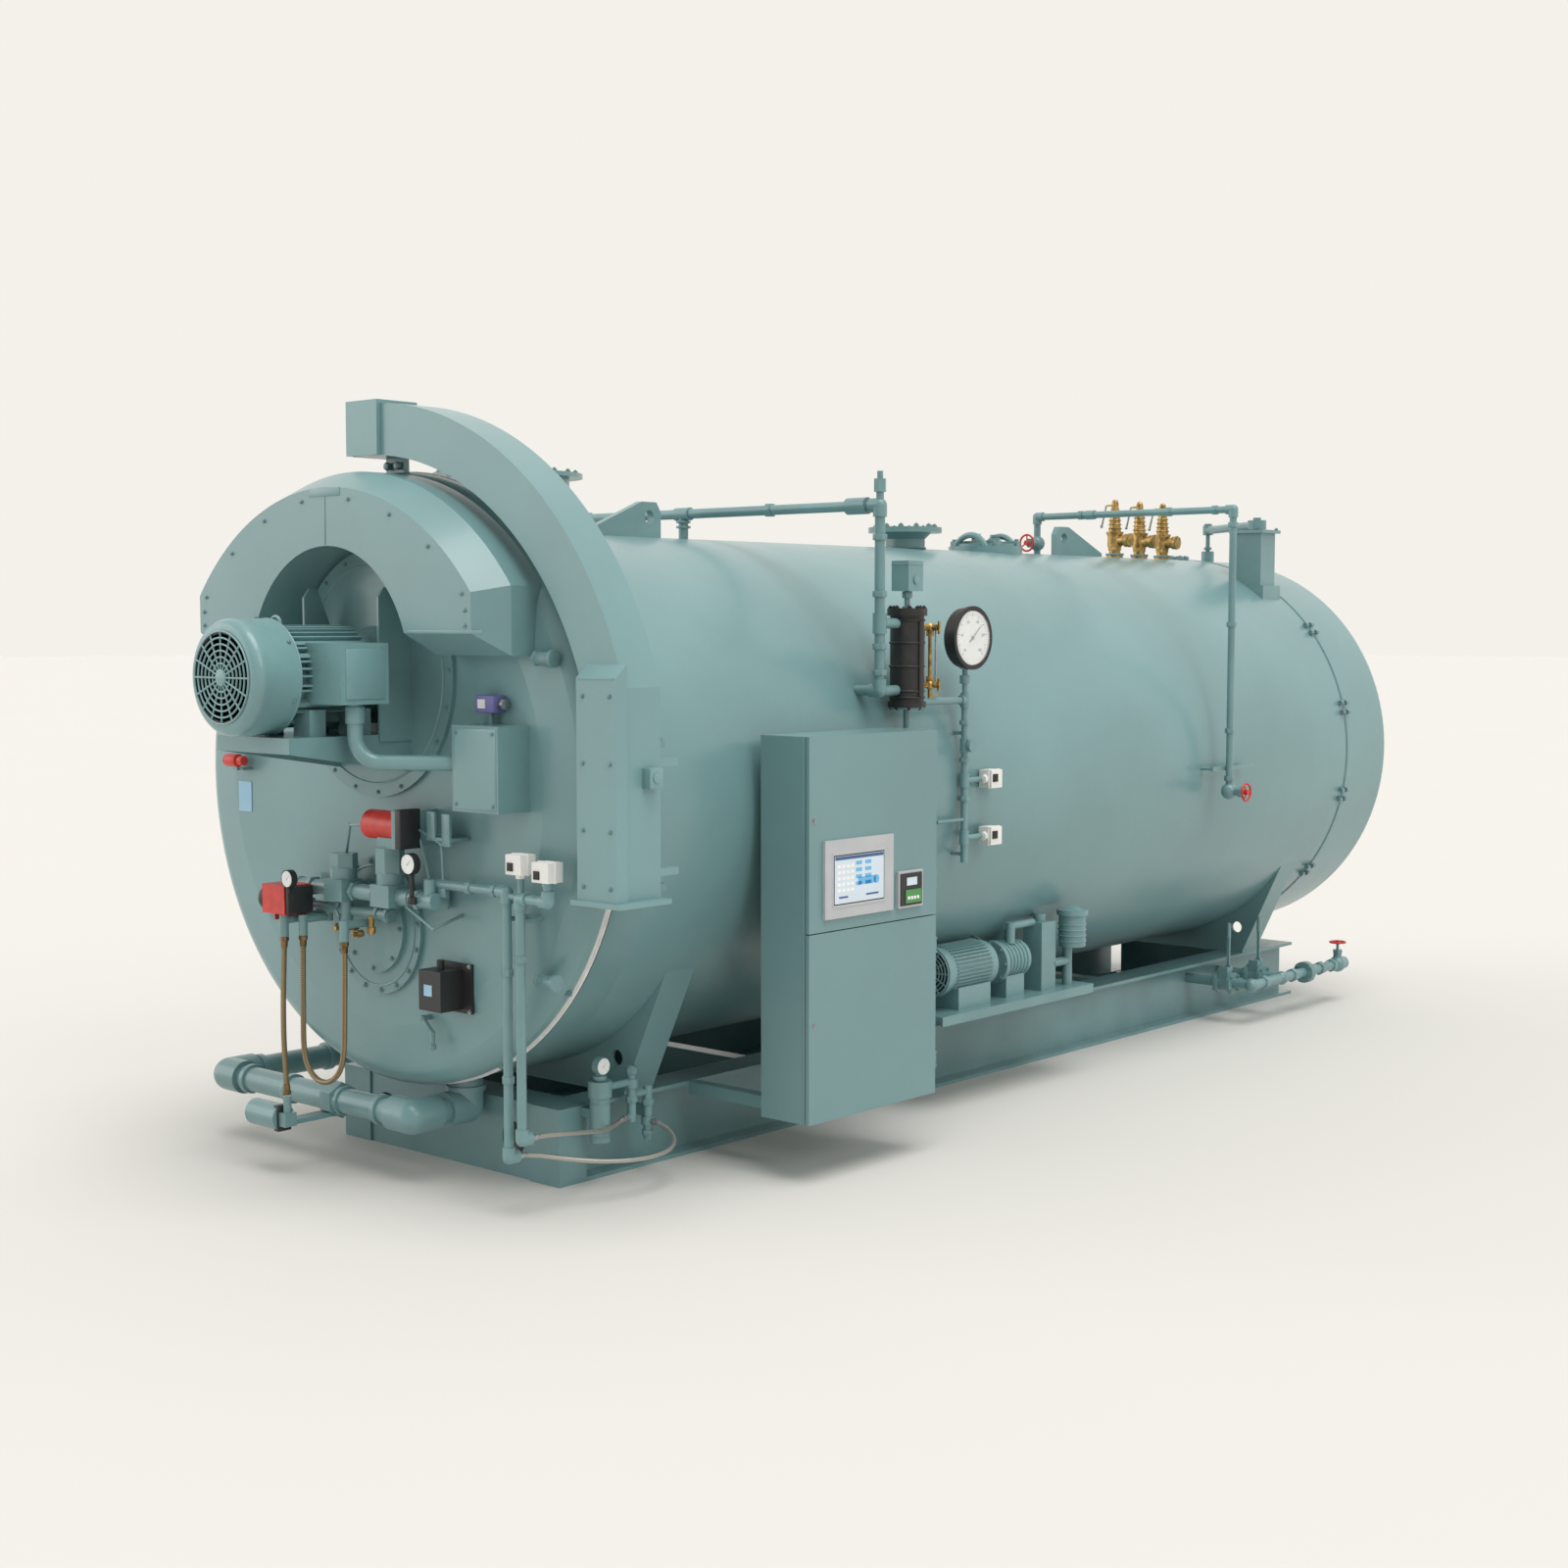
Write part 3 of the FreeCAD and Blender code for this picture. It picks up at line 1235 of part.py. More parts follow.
def make_rear_davit_arm():
    """Arm from the pivot to the door's crown, with the hanger rod."""
    x, y = davit_across, davit_place
    z = davit_height + 55
    crown = axis_height + rear_door_radius
    length = math.hypot(float(x), float(hanger_place - y))
    arm = fresh("Part::Cylinder", "arm")
    put(arm, "Radius", 27)
    put(arm, "Height", length)
    way = Vector(-float(x), float(hanger_place - y), 0)
    seat(arm, x, y, z, Rotation(Vector(0, 0, 1), way))
    pieces = [arm, rod(x, y, z - 28, "+z", 56, 58),
              rod(0, hanger_place, crown + 25, "+z", z - crown - 25, 14),
              rod(0, hanger_place, z - 32, "+z", 64, 34)]
    bore = rod(x, y, z - 40, "+z", 90, 25 + pin_clearance)
    return sub_part("rear_davit_arm", cut(fuse(pieces), [bore]))


hanger_place = shell_length + rear_gap + 356

# ---------------------------------------------------------------- assembly
collar_outside = collar_cone(0, 0, 0)
sub_part("skid_rails", group([make_rail(-1), make_rail(1)]))
make_front_crossbeam()
make_cross_members()
sub_part("saddles", group([make_saddle(front_saddle_place), make_saddle(rear_saddle_place)]))
make_shell()
make_tube_sheet()
make_collar()
make_front_gasket()
make_front_door()
make_davit_arm()
make_hinge_post()
make_burner_housing()
make_door_plates()
make_blower_motor()
make_motor_cowl()
make_motor_shelf()
make_junction_box()
make_motor_conduit()
make_gas_manifold()
make_gas_actuators()
make_flame_scanner()
make_fuel_pipes()
make_fuel_switches()
make_flue_outlet()
make_lifting_lugs()
make_steam_nozzle()
make_manway()
make_equalizing_pipe()
make_water_column()
make_gauge_glass()
make_pressure_gauge()
make_control_pipe()
make_pressure_switches()
make_vent_pipe()
crown = axis_height + shell_radius
make_handwheel("vent_handwheel", 0, 4520 - 96, crown + 65, "-y")
make_handwheel("side_vent_handwheel", shell_radius + 209, 4520, 1470, "+x")
make_safety_valves()
make_cabinet_body()
make_cabinet_door("cabinet_upper_door", cabinet_split + panel_gap / 2,
                  cabinet_foot + cabinet_height)
make_cabinet_door("cabinet_lower_door", cabinet_foot, cabinet_split - panel_gap / 2)
make_operator_screen()
make_compressor_tray()
make_air_compressor()
make_air_separator()
make_blowdown_pipes()
make_blowdown_lever("front_blowdown_lever", VALVE_PLACES[0])
make_blowdown_lever("rear_blowdown_lever", VALVE_PLACES[1])
make_handwheel("drain_handwheel", BLOWDOWN_RUN, 6340, BLOWDOWN_HEIGHT + 128, "+z")
make_gas_supply_pipe()
make_low_gas_actuator()
make_air_regulator()
sub_part("straight_hose", swept("straight_hose", STRAIGHT_HOSE, hose_radius))
sub_part("loop_hose", swept("loop_hose", LOOP_HOSE, hose_radius))
sub_part("upper_air_hose", swept("upper_air_hose", UPPER_AIR_HOSE, air_hose_radius))
sub_part("lower_air_hose", swept("lower_air_hose", LOWER_AIR_HOSE, air_hose_radius))
make_rear_davit_column()
make_rear_door()
make_rear_davit_arm()

doc.recompute()

# ---------------------------------------------------------------- checks and files
for item in doc.Objects:
    if "Invalid" in item.State or "Error" in item.State:
        raise RuntimeError("%s (%s) failed: %s" % (item.Name, item.Label, item.State))
for label, item in made.items():
    if item.Shape.isNull() or not item.Shape.isValid() or not item.Shape.Solids:
        raise RuntimeError(label + " has no valid solid")

os.makedirs("parts", exist_ok=True)
for label, item in made.items():
    item.Shape.exportStep("parts/%s.step" % label)
    print(label, len(item.Shape.Solids), "solids, %.0f cm3" % (item.Shape.Volume / 1000))
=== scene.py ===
"""Industrial boiler: finishes, fittings, hoses, floor and light around its fixed frame."""

import math

import bmesh
import bpy
from mathutils import Matrix, Vector


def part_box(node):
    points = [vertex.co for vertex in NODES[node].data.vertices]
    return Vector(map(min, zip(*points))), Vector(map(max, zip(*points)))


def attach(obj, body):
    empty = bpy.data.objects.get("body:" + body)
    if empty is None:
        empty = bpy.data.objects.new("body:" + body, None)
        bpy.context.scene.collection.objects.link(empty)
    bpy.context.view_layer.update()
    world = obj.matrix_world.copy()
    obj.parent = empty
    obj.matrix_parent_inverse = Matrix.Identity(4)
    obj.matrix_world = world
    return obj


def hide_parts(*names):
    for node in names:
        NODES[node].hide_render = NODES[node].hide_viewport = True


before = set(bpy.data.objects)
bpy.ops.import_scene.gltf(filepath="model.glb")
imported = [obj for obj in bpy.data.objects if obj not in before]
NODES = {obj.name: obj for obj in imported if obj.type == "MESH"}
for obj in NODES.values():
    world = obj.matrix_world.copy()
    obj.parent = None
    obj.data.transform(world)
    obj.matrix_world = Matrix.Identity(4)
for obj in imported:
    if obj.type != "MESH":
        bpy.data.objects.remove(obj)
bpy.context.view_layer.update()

bl_info = {
    "name": "Industrial boiler", "version": (1, 0, 0), "blender": (4, 5, 0),
    "location": "View3D > Sidebar > Boiler",
    "description": "Builds the finishes and small fittings of a packaged steam boiler",
    "category": "Object",}

RIGHT, BACK, UP = Vector((1, 0, 0)), Vector((0, 1, 0)), Vector((0, 0, 1))
LEFT, FRONT, DOWN = -RIGHT, -BACK, -UP


# ------------------------------------------------------------------ sizes and colours
class BoilerLooks(bpy.types.PropertyGroup):
    """Sizes and colours that a user would change."""

    paint: bpy.props.FloatVectorProperty(
        name="Paint", description="Colour of the vessel and heads", subtype="COLOR", size=3,
        default=(0.158, 0.292, 0.306))
    trim: bpy.props.FloatVectorProperty(
        name="Trim", description="Colour of the pipework, skid and cabinet", subtype="COLOR",
        size=3, default=(0.150, 0.278, 0.292))
    wheel_red: bpy.props.FloatVectorProperty(
        name="Red", description="Colour of handwheels and actuators", subtype="COLOR", size=3,
        default=(0.58, 0.035, 0.025))
    bolt: bpy.props.FloatProperty(
        name="Bolt", description="Radius across a flange bolt's corners", unit="LENGTH",
        default=0.014)
    fins: bpy.props.IntProperty(
        name="Fins", description="Cooling fins round the blower motor", default=44)
    tube: bpy.props.FloatProperty(
        name="Tube", description="Outside radius of a fire tube's end", unit="LENGTH",
        default=0.032)


class BoilerView(bpy.types.PropertyGroup):
    """Where the boiler is looked at from."""

    place: bpy.props.FloatVectorProperty(
        name="Place", description="Camera position", subtype="TRANSLATION", size=3,
        default=(7.441, -6.258, 2.417))
    turn: bpy.props.FloatProperty(
        name="Turn", description="Camera heading, turned left from +Y", subtype="ANGLE",
        default=math.radians(41.32))
    dip: bpy.props.FloatProperty(
        name="Dip", description="How far the camera looks down", subtype="ANGLE",
        default=math.radians(4.27))
    lens: bpy.props.FloatProperty(
        name="Lens", description="Focal length in millimetres", default=49.2)


# ------------------------------------------------------------------ shader expressions
class Signal:
    """A shader socket that takes part in Python arithmetic."""

    def __init__(self, shader, socket):
        self.shader = shader
        self.socket = socket

    def math(self, operation, other=0.0, flip=False):
        first, second = (other, self) if flip else (self, other)
        return self.shader.node("ShaderNodeMath", {"operation": operation}, [first, second])

    def __add__(self, other):
        return self.math("ADD", other)

    __radd__ = __add__

    def __sub__(self, other):
        return self.math("SUBTRACT", other)

    def __rsub__(self, other):
        return self.math("SUBTRACT", other, True)

    def __mul__(self, other):
        return self.math("MULTIPLY", other)

    __rmul__ = __mul__

    def __truediv__(self, other):
        return self.math("DIVIDE", other)

    def __pow__(self, other):
        return self.math("POWER", other)

    def clip(self, low, high):
        """Spread the range from low to high over 0 to 1, and cut off the rest."""
        return self.shader.node(
            "ShaderNodeMapRange", {"clamp": True},
            {"Value": self, "From Min": low, "From Max": high})


class Nodes:
    """A node tree that is built by calls."""

    def __init__(self, tree):
        self.tree = tree

    def node(self, kind, settings=None, inputs=None, output=0):
        """Add one node: its settings first, then the values or links of its sockets."""
        made = self.tree.nodes.new(kind)
        for key, value in (settings or {}).items():
            if key == "stops":
                ramp = made.color_ramp
                while len(ramp.elements) < len(value):
                    ramp.elements.new(0.5)
                for element, (place, colour) in zip(ramp.elements, value):
                    element.position = place
                    element.color = (*colour, 1.0)
            else:
                setattr(made, key, value)
        pairs = inputs.items() if isinstance(inputs, dict) else enumerate(inputs or [])
        for key, value in pairs:
            self.feed(made.inputs[key], value)
        return Signal(self, made.outputs[output])

    def feed(self, socket, value):
        if isinstance(value, Signal):
            self.tree.links.new(value.socket, socket)
        elif value is not None:
            socket.default_value = value


class Shader(Nodes):
    """One material and the nodes in it."""

    def __init__(self, name):
        self.material = bpy.data.materials.new(name)
        self.material.use_nodes = True
        super().__init__(self.material.node_tree)
        self.surface = self.tree.nodes["Principled BSDF"]
        self.places = {}

    def set(self, **values):
        """Feed the surface's own sockets, with underscores for the spaces in their names."""
        for key, value in values.items():
            if isinstance(value, tuple) and len(value) == 3:
                value = (*value, 1.0)
            self.feed(self.surface.inputs[key.replace("_", " ")], value)
        return self

    def place(self, scale=(1, 1, 1)):
        """The point on the object, stretched by scale."""
        if scale not in self.places:
            point = self.node("ShaderNodeTexCoord", output=3)
            self.places[scale] = self.node(
                "ShaderNodeMapping", {}, {"Vector": point, "Scale": scale})
        return self.places[scale]

    def noise(self, size, detail=3.0, stretch=(1, 1, 1), rough=0.5):
        """Cloudy noise, from 0 to 1, with patches about size metres across."""
        return self.node(
            "ShaderNodeTexNoise", {}, {"Vector": self.place(stretch), "Scale": 1.0 / size,
            "Detail": detail, "Roughness": rough})

    def ramp(self, factor, stops):
        return self.node("ShaderNodeValToRGB", {"stops": stops}, [factor])

    def blend(self, factor, first, last):
        """Mix two colours."""
        colours = [(*c, 1.0) if isinstance(c, tuple) else c for c in (first, last)]
        return self.node(
            "ShaderNodeMix", {"data_type": "RGBA"}, {0: factor, 6: colours[0], 7: colours[1]},
            output=2)

    def relief(self, height, distance, strength=1.0):
        return self.node(
            "ShaderNodeBump", {}, {"Height": height, "Distance": distance,
            "Strength": strength})


def shade(colour, factor):
    return tuple(min(1.0, channel * factor) for channel in colour)


def rolled_paint(name, colour, streak=(1, 1, 1), gloss=0.31):
    """Sprayed enamel on rolled plate: slow tone drift, faint streaks and orange peel."""
    paint = Shader(name)
    drift = paint.noise(0.9, 4.0)
    streaks = paint.noise(0.5, 3.0, streak)
    dust = paint.noise(0.06, 5.0, rough=0.65)
    tone = paint.blend(drift.clip(0.32, 0.68), shade(colour, 0.93), shade(colour, 1.07))
    tone = paint.blend(dust.clip(0.58, 0.80) * 0.22, tone, shade(colour, 1.22))
    peel = paint.noise(0.012, 2.0)
    waves = streaks * 0.8 + paint.noise(0.33, 2.0) * 0.6
    bump = paint.relief(peel * 0.10 + waves, 0.0028, 0.55)
    paint.set(
        Base_Color=tone, Roughness=dust * 0.10 + streaks * 0.10 + (gloss - 0.10), Normal=bump)
    paint.set(Coat_Weight=0.30, Coat_Roughness=0.20)
    return paint.material


def trim_paint(name, colour):
    """The same enamel brushed on pipework and plates, with dirt in its small hollows."""
    paint = Shader(name)
    drift = paint.noise(0.35, 4.0)
    grime = paint.noise(0.035, 5.0, rough=0.7)
    tone = paint.blend(drift.clip(0.3, 0.7), shade(colour, 0.88), shade(colour, 1.12))
    tone = paint.blend(grime.clip(0.60, 0.78) * 0.35, tone, shade(colour, 0.62))
    peel = paint.noise(0.006, 3.0)
    paint.set(
        Base_Color=tone, Roughness=grime * 0.20 + 0.22,
        Normal=paint.relief(peel * 0.5 + grime, 0.0008, 0.6))
    paint.set(Coat_Weight=0.25, Coat_Roughness=0.15)
    return paint.material


def black_iron(name):
    """Ribbed black cast iron with a little rust-brown bloom."""
    iron = Shader(name)
    grain = iron.noise(0.008, 4.0)
    bloom = iron.noise(0.07, 4.0)
    tone = iron.blend(bloom.clip(0.55, 0.8) * 0.5, (0.014, 0.014, 0.015), (0.055, 0.045, 0.038))
    iron.set(
        Base_Color=tone, Roughness=grain * 0.25 + 0.32, Normal=iron.relief(grain, 0.0009, 0.5))
    return iron.material


def worn_brass(name, colour=(0.50, 0.33, 0.12)):
    """Cast brass, darker in its hollows and bright where it is handled."""
    brass = Shader(name)
    cloud = brass.noise(0.03, 5.0)
    fine = brass.noise(0.004, 3.0)
    tone = brass.blend(cloud.clip(0.35, 0.68), shade(colour, 0.50), shade(colour, 1.25))
    brass.set(
        Base_Color=tone, Metallic=0.9, Roughness=cloud * 0.25 + fine * 0.12 + 0.22,
        Normal=brass.relief(fine, 0.0004, 0.5))
    return brass.material


def gloss_paint(name, colour, rough=0.28):
    """Smooth bright enamel with small chips of shade."""
    paint = Shader(name)
    cloud = paint.noise(0.05, 4.0)
    tone = paint.blend(cloud.clip(0.35, 0.7), shade(colour, 0.80), shade(colour, 1.10))
    paint.set(
        Base_Color=tone, Roughness=cloud * 0.16 + rough,
        Normal=paint.relief(paint.noise(0.005, 2.0), 0.0003, 0.5))
    return paint.material


def moulded(name, colour, rough=0.5, grain=0.003):
    """Moulded plastic with a fine spark-eroded grain."""
    plastic = Shader(name)
    cells = plastic.noise(grain, 2.0)
    cloud = plastic.noise(0.12, 3.0)
    tone = plastic.blend(cloud.clip(0.3, 0.7), shade(colour, 0.95), shade(colour, 1.04))
    plastic.set(
        Base_Color=tone, Roughness=cells * 0.14 + rough,
        Normal=plastic.relief(cells, 0.0002, 0.5))
    return plastic.material


def bare_steel(name, tint=(0.42, 0.43, 0.44)):
    """Zinc-plated steel with fine turning marks."""
    steel = Shader(name)
    cloud = steel.noise(0.02, 4.0)
    tone = steel.blend(cloud.clip(0.3, 0.75), shade(tint, 0.70), shade(tint, 1.15))
    steel.set(
        Base_Color=tone, Metallic=0.85, Roughness=cloud * 0.25 + 0.25,
        Normal=steel.relief(steel.noise(0.003, 2.0), 0.0002, 0.5))
    return steel.material


def braided_hose(name, light, dark, pitch):
    """Woven wire cover, its strands crossing along and round the hose's own map."""
    hose = Shader(name)
    along = hose.node("ShaderNodeTexCoord", output=2)
    lay = hose.node("ShaderNodeMapping", {}, {"Vector": along, "Scale": (1, 1, 1)})
    parts = hose.tree.nodes.new("ShaderNodeSeparateXYZ")
    hose.tree.links.new(lay.socket, parts.inputs[0])
    u, v = Signal(hose, parts.outputs[0]), Signal(hose, parts.outputs[1])
    one = (u * pitch + v * 12.0).math("SINE")
    two = (u * pitch - v * 12.0).math("SINE")
    weave = (one * two) * 0.5 + 0.5
    drift = hose.noise(0.08, 3.0)
    tone = hose.blend(weave, dark, light)
    tone = hose.blend(drift.clip(0.3, 0.75) * 0.35, tone, shade(dark, 1.2))
    hose.set(
        Base_Color=tone, Metallic=0.75, Roughness=weave * 0.12 + 0.34,
        Normal=hose.relief(weave, 0.0008, 0.7))
    return hose.material


def rope_seal(name):
    """Pale braided rope squeezed in the front seam."""
    rope = Shader(name)
    twist = rope.node(
        "ShaderNodeTexWave", {"bands_direction": "DIAGONAL"},
        {"Vector": rope.place(), "Scale": 45.0, "Distortion": 3.0, "Detail": 2.0}, output=1)
    tone = rope.blend(twist, (0.55, 0.56, 0.54), (0.80, 0.81, 0.79))
    rope.set(Base_Color=tone, Roughness=0.8, Normal=rope.relief(twist, 0.002, 0.6))
    return rope.material


def lit_screen(name, colour, power):
    """A backlit display area, slightly uneven in tone."""
    screen = Shader(name)
    glow = screen.noise(0.20, 1.0)
    tone = screen.blend(glow.clip(0.2, 0.8), shade(colour, 0.92), colour)
    screen.set(Base_Color=tone, Roughness=glow * 0.05 + 0.12, Emission_Color=tone)
    screen.set(Emission_Strength=power)
    return screen.material


def clear_glass(name):
    """Thin gauge glass."""
    glass = Shader(name)
    smear = glass.noise(0.03, 3.0)
    glass.set(Base_Color=(0.90, 0.95, 0.95), Roughness=smear * 0.06 + 0.02)
    glass.set(Alpha=0.22, IOR=1.45)
    return glass.material


def make_finishes(looks):
    """Every finish of the boiler, by name."""
    paint, trim = tuple(looks.paint), tuple(looks.trim)
    return {
        "vessel": rolled_paint("vessel_enamel", paint, (0.4, 2.5, 0.4)),
        "head": rolled_paint("head_enamel", shade(paint, 1.04), (1, 1, 1), 0.34),
        "housing": rolled_paint("housing_enamel", shade(paint, 0.97), (1, 1, 2), 0.36),
        "cabinet": rolled_paint("cabinet_enamel", shade(paint, 0.96), (1, 1, 0.3), 0.38),
        "trim": trim_paint("trim_enamel", trim),
        "skid": trim_paint("skid_enamel", shade(trim, 0.98)),
        "motor": trim_paint("motor_enamel", shade(trim, 1.08)),
        "iron": black_iron("black_iron"), "brass": worn_brass("worn_brass"),
        "bronze": worn_brass("dark_bronze", (0.22, 0.15, 0.07)),
        "red": gloss_paint("red_enamel", tuple(looks.wheel_red)),
        "white": moulded("white_case", (0.78, 0.78, 0.76), 0.42),
        "black": moulded("black_case", (0.018, 0.019, 0.021), 0.38),
        "grey": moulded("grey_bezel", (0.46, 0.48, 0.50), 0.34),
        "green": moulded("green_panel", (0.07, 0.28, 0.08), 0.40),
        "violet": moulded("violet_case", (0.17, 0.17, 0.42), 0.42),
        "pale_blue": moulded("pale_blue_plate", (0.30, 0.52, 0.68), 0.45),
        "steel": bare_steel("plated_steel"), "bolt": trim_paint("bolt_enamel",
        shade(trim, 0.90)), "gasket": rope_seal("rope_seal"),
        "keeper": gloss_paint("seal_keeper", (0.74, 0.75, 0.75), 0.30),
        "tube_steel": bare_steel("tube_steel", (0.20, 0.19, 0.18)),
        "hose": braided_hose("bronze_braid", (0.42, 0.33, 0.19), (0.12, 0.09, 0.05), 700.0),
        "air_line": braided_hose("steel_braid", (0.62, 0.61, 0.56), (0.30, 0.29, 0.26), 800.0),
        "screen": lit_screen("screen_light", (0.50, 0.58, 0.64), 0.30),
        "screen_dark": lit_screen("screen_dark", (0.03, 0.08, 0.20), 0.30),
        "screen_blue": lit_screen("screen_blue", (0.10, 0.32, 0.52), 0.45),
        "dial": moulded("dial_face", (0.86, 0.86, 0.84), 0.35, 0.05),
        "ink": moulded("dial_ink", (0.012, 0.012, 0.014), 0.5),
        "glass": clear_glass("gauge_glass"),}


FINISH = {}

HEAD = "burner_head"

# the material slot that a finish has unless a piece names another
OWN = "own"
SLOTS = {"trim": "trim_paint", "bolt": "trim_paint", "motor": "trim_paint",
         "cabinet": "trim_paint", "housing": "vessel_paint", "vessel": "vessel_paint",
         "gasket": "rope_seal", "keeper": "rope_seal", "black": "dark_case",
         "ink": "dark_case", "white": "white_case", "brass": "brass", "iron": "black_iron"}


# ------------------------------------------------------------------ modelling helpers
def deselect():
    if bpy.context.object and bpy.context.object.mode != "OBJECT":
        bpy.ops.object.mode_set(mode="OBJECT")
    bpy.ops.object.select_all(action="DESELECT")


def facing(direction):
    """Rotation that turns +Z to a direction."""
    return UP.rotation_difference(Vector(direction))


def barrel(start, direction, length, radius, sides=28, end_radius=None):
    """A turned bar from start along a direction, tapered to end_radius when one is given."""
    deselect()
    direction = Vector(direction).normalized()
    middle = Vector(start) + direction * (length / 2)
    turn = facing(direction).to_euler()
    if end_radius is None:
        bpy.ops.mesh.primitive_cylinder_add(
            vertices=sides, radius=radius, depth=length, location=middle, rotation=turn)
    else:
        bpy.ops.mesh.primitive_cone_add(
            vertices=sides, radius1=radius, radius2=end_radius, depth=length, location=middle,
            rotation=turn)
    return bpy.context.object


def plank(low, high):
    """A plate or box between two corners."""
    deselect()
    low, high = Vector(low), Vector(high)
    bpy.ops.mesh.primitive_cube_add(size=1.0, location=(low + high) / 2, scale=high - low)
    return bpy.context.object


def bars(*rows):
    """Several turned bars, one to a row."""
    return [barrel(*row) for row in rows]


def planks(*rows):
    """Several plates, one to a row."""
    return [plank(*row) for row in rows]


def hoop(centre, direction, radius, wire, around=48, across=8):
    deselect()
    bpy.ops.mesh.primitive_torus_add(
        location=centre, rotation=facing(direction).to_euler(), major_radius=radius,
        minor_radius=wire, major_segments=around, minor_segments=across)
    return bpy.context.object


def bead(centre, radius, sides=20):
    deselect()
    bpy.ops.mesh.primitive_uv_sphere_add(
        segments=sides, ring_count=sides // 2, radius=radius, location=centre)
    return bpy.context.object


def join(parts):
    deselect()
    for part in parts:
        part.select_set(True)
    bpy.context.view_layer.objects.active = parts[0]
    if len(parts) > 1:
        bpy.ops.object.join()
    bpy.ops.object.transform_apply(location=True, rotation=True, scale=True)
    return bpy.context.object


def push_faces(part, direction, inset, depth, alignment=0.9):
    """Inset the faces that look along a direction, then push them in or out."""
    direction = Vector(direction)
    join([part])
    bpy.ops.object.mode_set(mode="EDIT")
    bpy.ops.mesh.select_all(action="DESELECT")
    bpy.ops.mesh.select_mode(type="FACE")
    cage = bmesh.from_edit_mesh(part.data)
    for face in cage.faces:
        face.select_set(face.normal.dot(direction) > alignment)
    bmesh.update_edit_mesh(part.data)
    bpy.ops.mesh.inset(thickness=inset, depth=depth)
    bpy.ops.object.mode_set(mode="OBJECT")
    return part


def soften(part, width, angle=35, segments=2):
    """Round the sharp edges and shade the rest smooth."""
    deselect()
    part.select_set(True)
    bpy.context.view_layer.objects.active = part
    if width:
        rounding = part.modifiers.new("rounding", "BEVEL")
        rounding.width = width
        rounding.segments = segments
        rounding.limit_method = "ANGLE"
        rounding.angle_limit = math.radians(angle)
        bpy.ops.object.modifier_apply(modifier=rounding.name)
    bpy.ops.object.shade_smooth_by_angle(angle=math.radians(angle))
    return part


def fit(name, parts, finish, body, rounding=0, slot=OWN):
    """Join the parts of a piece, finish it, name it and let it ride on its body."""
    piece = soften(join(parts), rounding)
    piece.name = name
    piece.data.name = name
    piece.data.materials.clear()
    piece.data.materials.append(FINISH[finish])
    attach(piece, body)
    slot = SLOTS.get(finish) if slot == OWN else slot
    return piece


def repeat(pattern, places):
    """Copies of one modelled part, each at its point and facing its direction."""
    copies = []
    for point, direction in places:
        copy = pattern.copy()
        copy.data = pattern.data.copy()
        bpy.context.scene.collection.objects.link(copy)
        copy.matrix_world = Matrix.LocRotScale(Vector(point), facing(direction), None)
        copies.append(copy)
    bpy.data.objects.remove(pattern)
    return copies


def hex_bolt(size):
    """Washer, hexagon head and stud end, standing on the origin along +Z."""
    washer = barrel((0, 0, 0), UP, size * 0.22, size * 1.25, 14)
    head = barrel((0, 0, size * 0.2), UP, size * 0.75, size, 6)
    push_faces(head, UP, size * 0.18, size * 0.10)
    end = barrel((0, 0, size * 0.9), UP, size * 0.55, size * 0.5, 10, size * 0.42)
    return join([washer, head, end])


def circle(centre, direction, radius, count, phase=0.0):
    """Points evenly spaced on a circle, each with the circle's direction."""
    direction = Vector(direction).normalized()
    turn = facing(direction)
    return [
        (Vector(centre) + turn @ (Vector((math.cos(a), math.sin(a), 0)) * radius), direction)
        for a in (phase + 2 * math.pi * k / count for k in range(count))]


def screws(name, size, places, body, finish="bolt", slot=OWN):
    """Bolts at points, each facing its direction, as one piece."""
    return fit(name, repeat(hex_bolt(size), places), finish, body, slot=slot)


def spoke_at(angle):
    """The direction at an angle in the upright plane that faces the front."""
    return Vector((math.cos(angle), 0, math.sin(angle)))


def stand(part, place, right, up, out):
    """Set a part modelled on the origin at a place, along three directions."""
    basis = Matrix((right, up, out)).transposed().to_4x4()
    part.matrix_world = Matrix.Translation(place) @ basis @ part.matrix_world
    return part


def panel(name, low, high, out, inset, depth, finish, body, rounding=0, slot=OWN):
    """A plate with its face inset and pushed in or out."""
    plate = push_faces(plank(low, high), out, inset, depth)
    return fit(name, [plate], finish, body, rounding, slot)


def bolt_ring(name, rings, size, body, finish="bolt", slot="trim_paint"):
    """One piece that holds the bolts of several flanges."""
    places = [place for ring in rings for place in circle(*ring)]
    return fit(name, repeat(hex_bolt(size), places), finish, body, slot=slot)


def paint_node(node, finish):
    """Give a fixed piece its finish."""
    mesh = NODES[node].data
    mesh.materials.clear()
    mesh.materials.append(FINISH[finish])
    for polygon in mesh.polygons:
        polygon.material_index = 0


def paint_where(node, finish, test):
    """Give the part of a fixed piece that passes a test a second finish."""
    item = NODES[node]
    item.data.materials.append(FINISH[finish])
    last = len(item.data.materials) - 1
    corners = [test(item.matrix_world @ vertex.co) for vertex in item.data.vertices]
    for polygon in item.data.polygons:
        if any(corners[corner] for corner in polygon.vertices):
            polygon.material_index = last


def numeral(text, centre, height, right, up, out, thickness=0.0006):
    """Flat figures on a dial, as a mesh."""
    deselect()
    bpy.ops.object.text_add()
    words = bpy.context.object
    words.data.body = text
    words.data.size = height
    words.data.extrude = thickness / 2
    words.data.resolution_u = 3
    words.data.align_x = "CENTER"
    words.data.align_y = "CENTER"
    bpy.ops.object.convert(target="MESH")
    words = bpy.context.object
    return stand(words, centre, right, up, out)


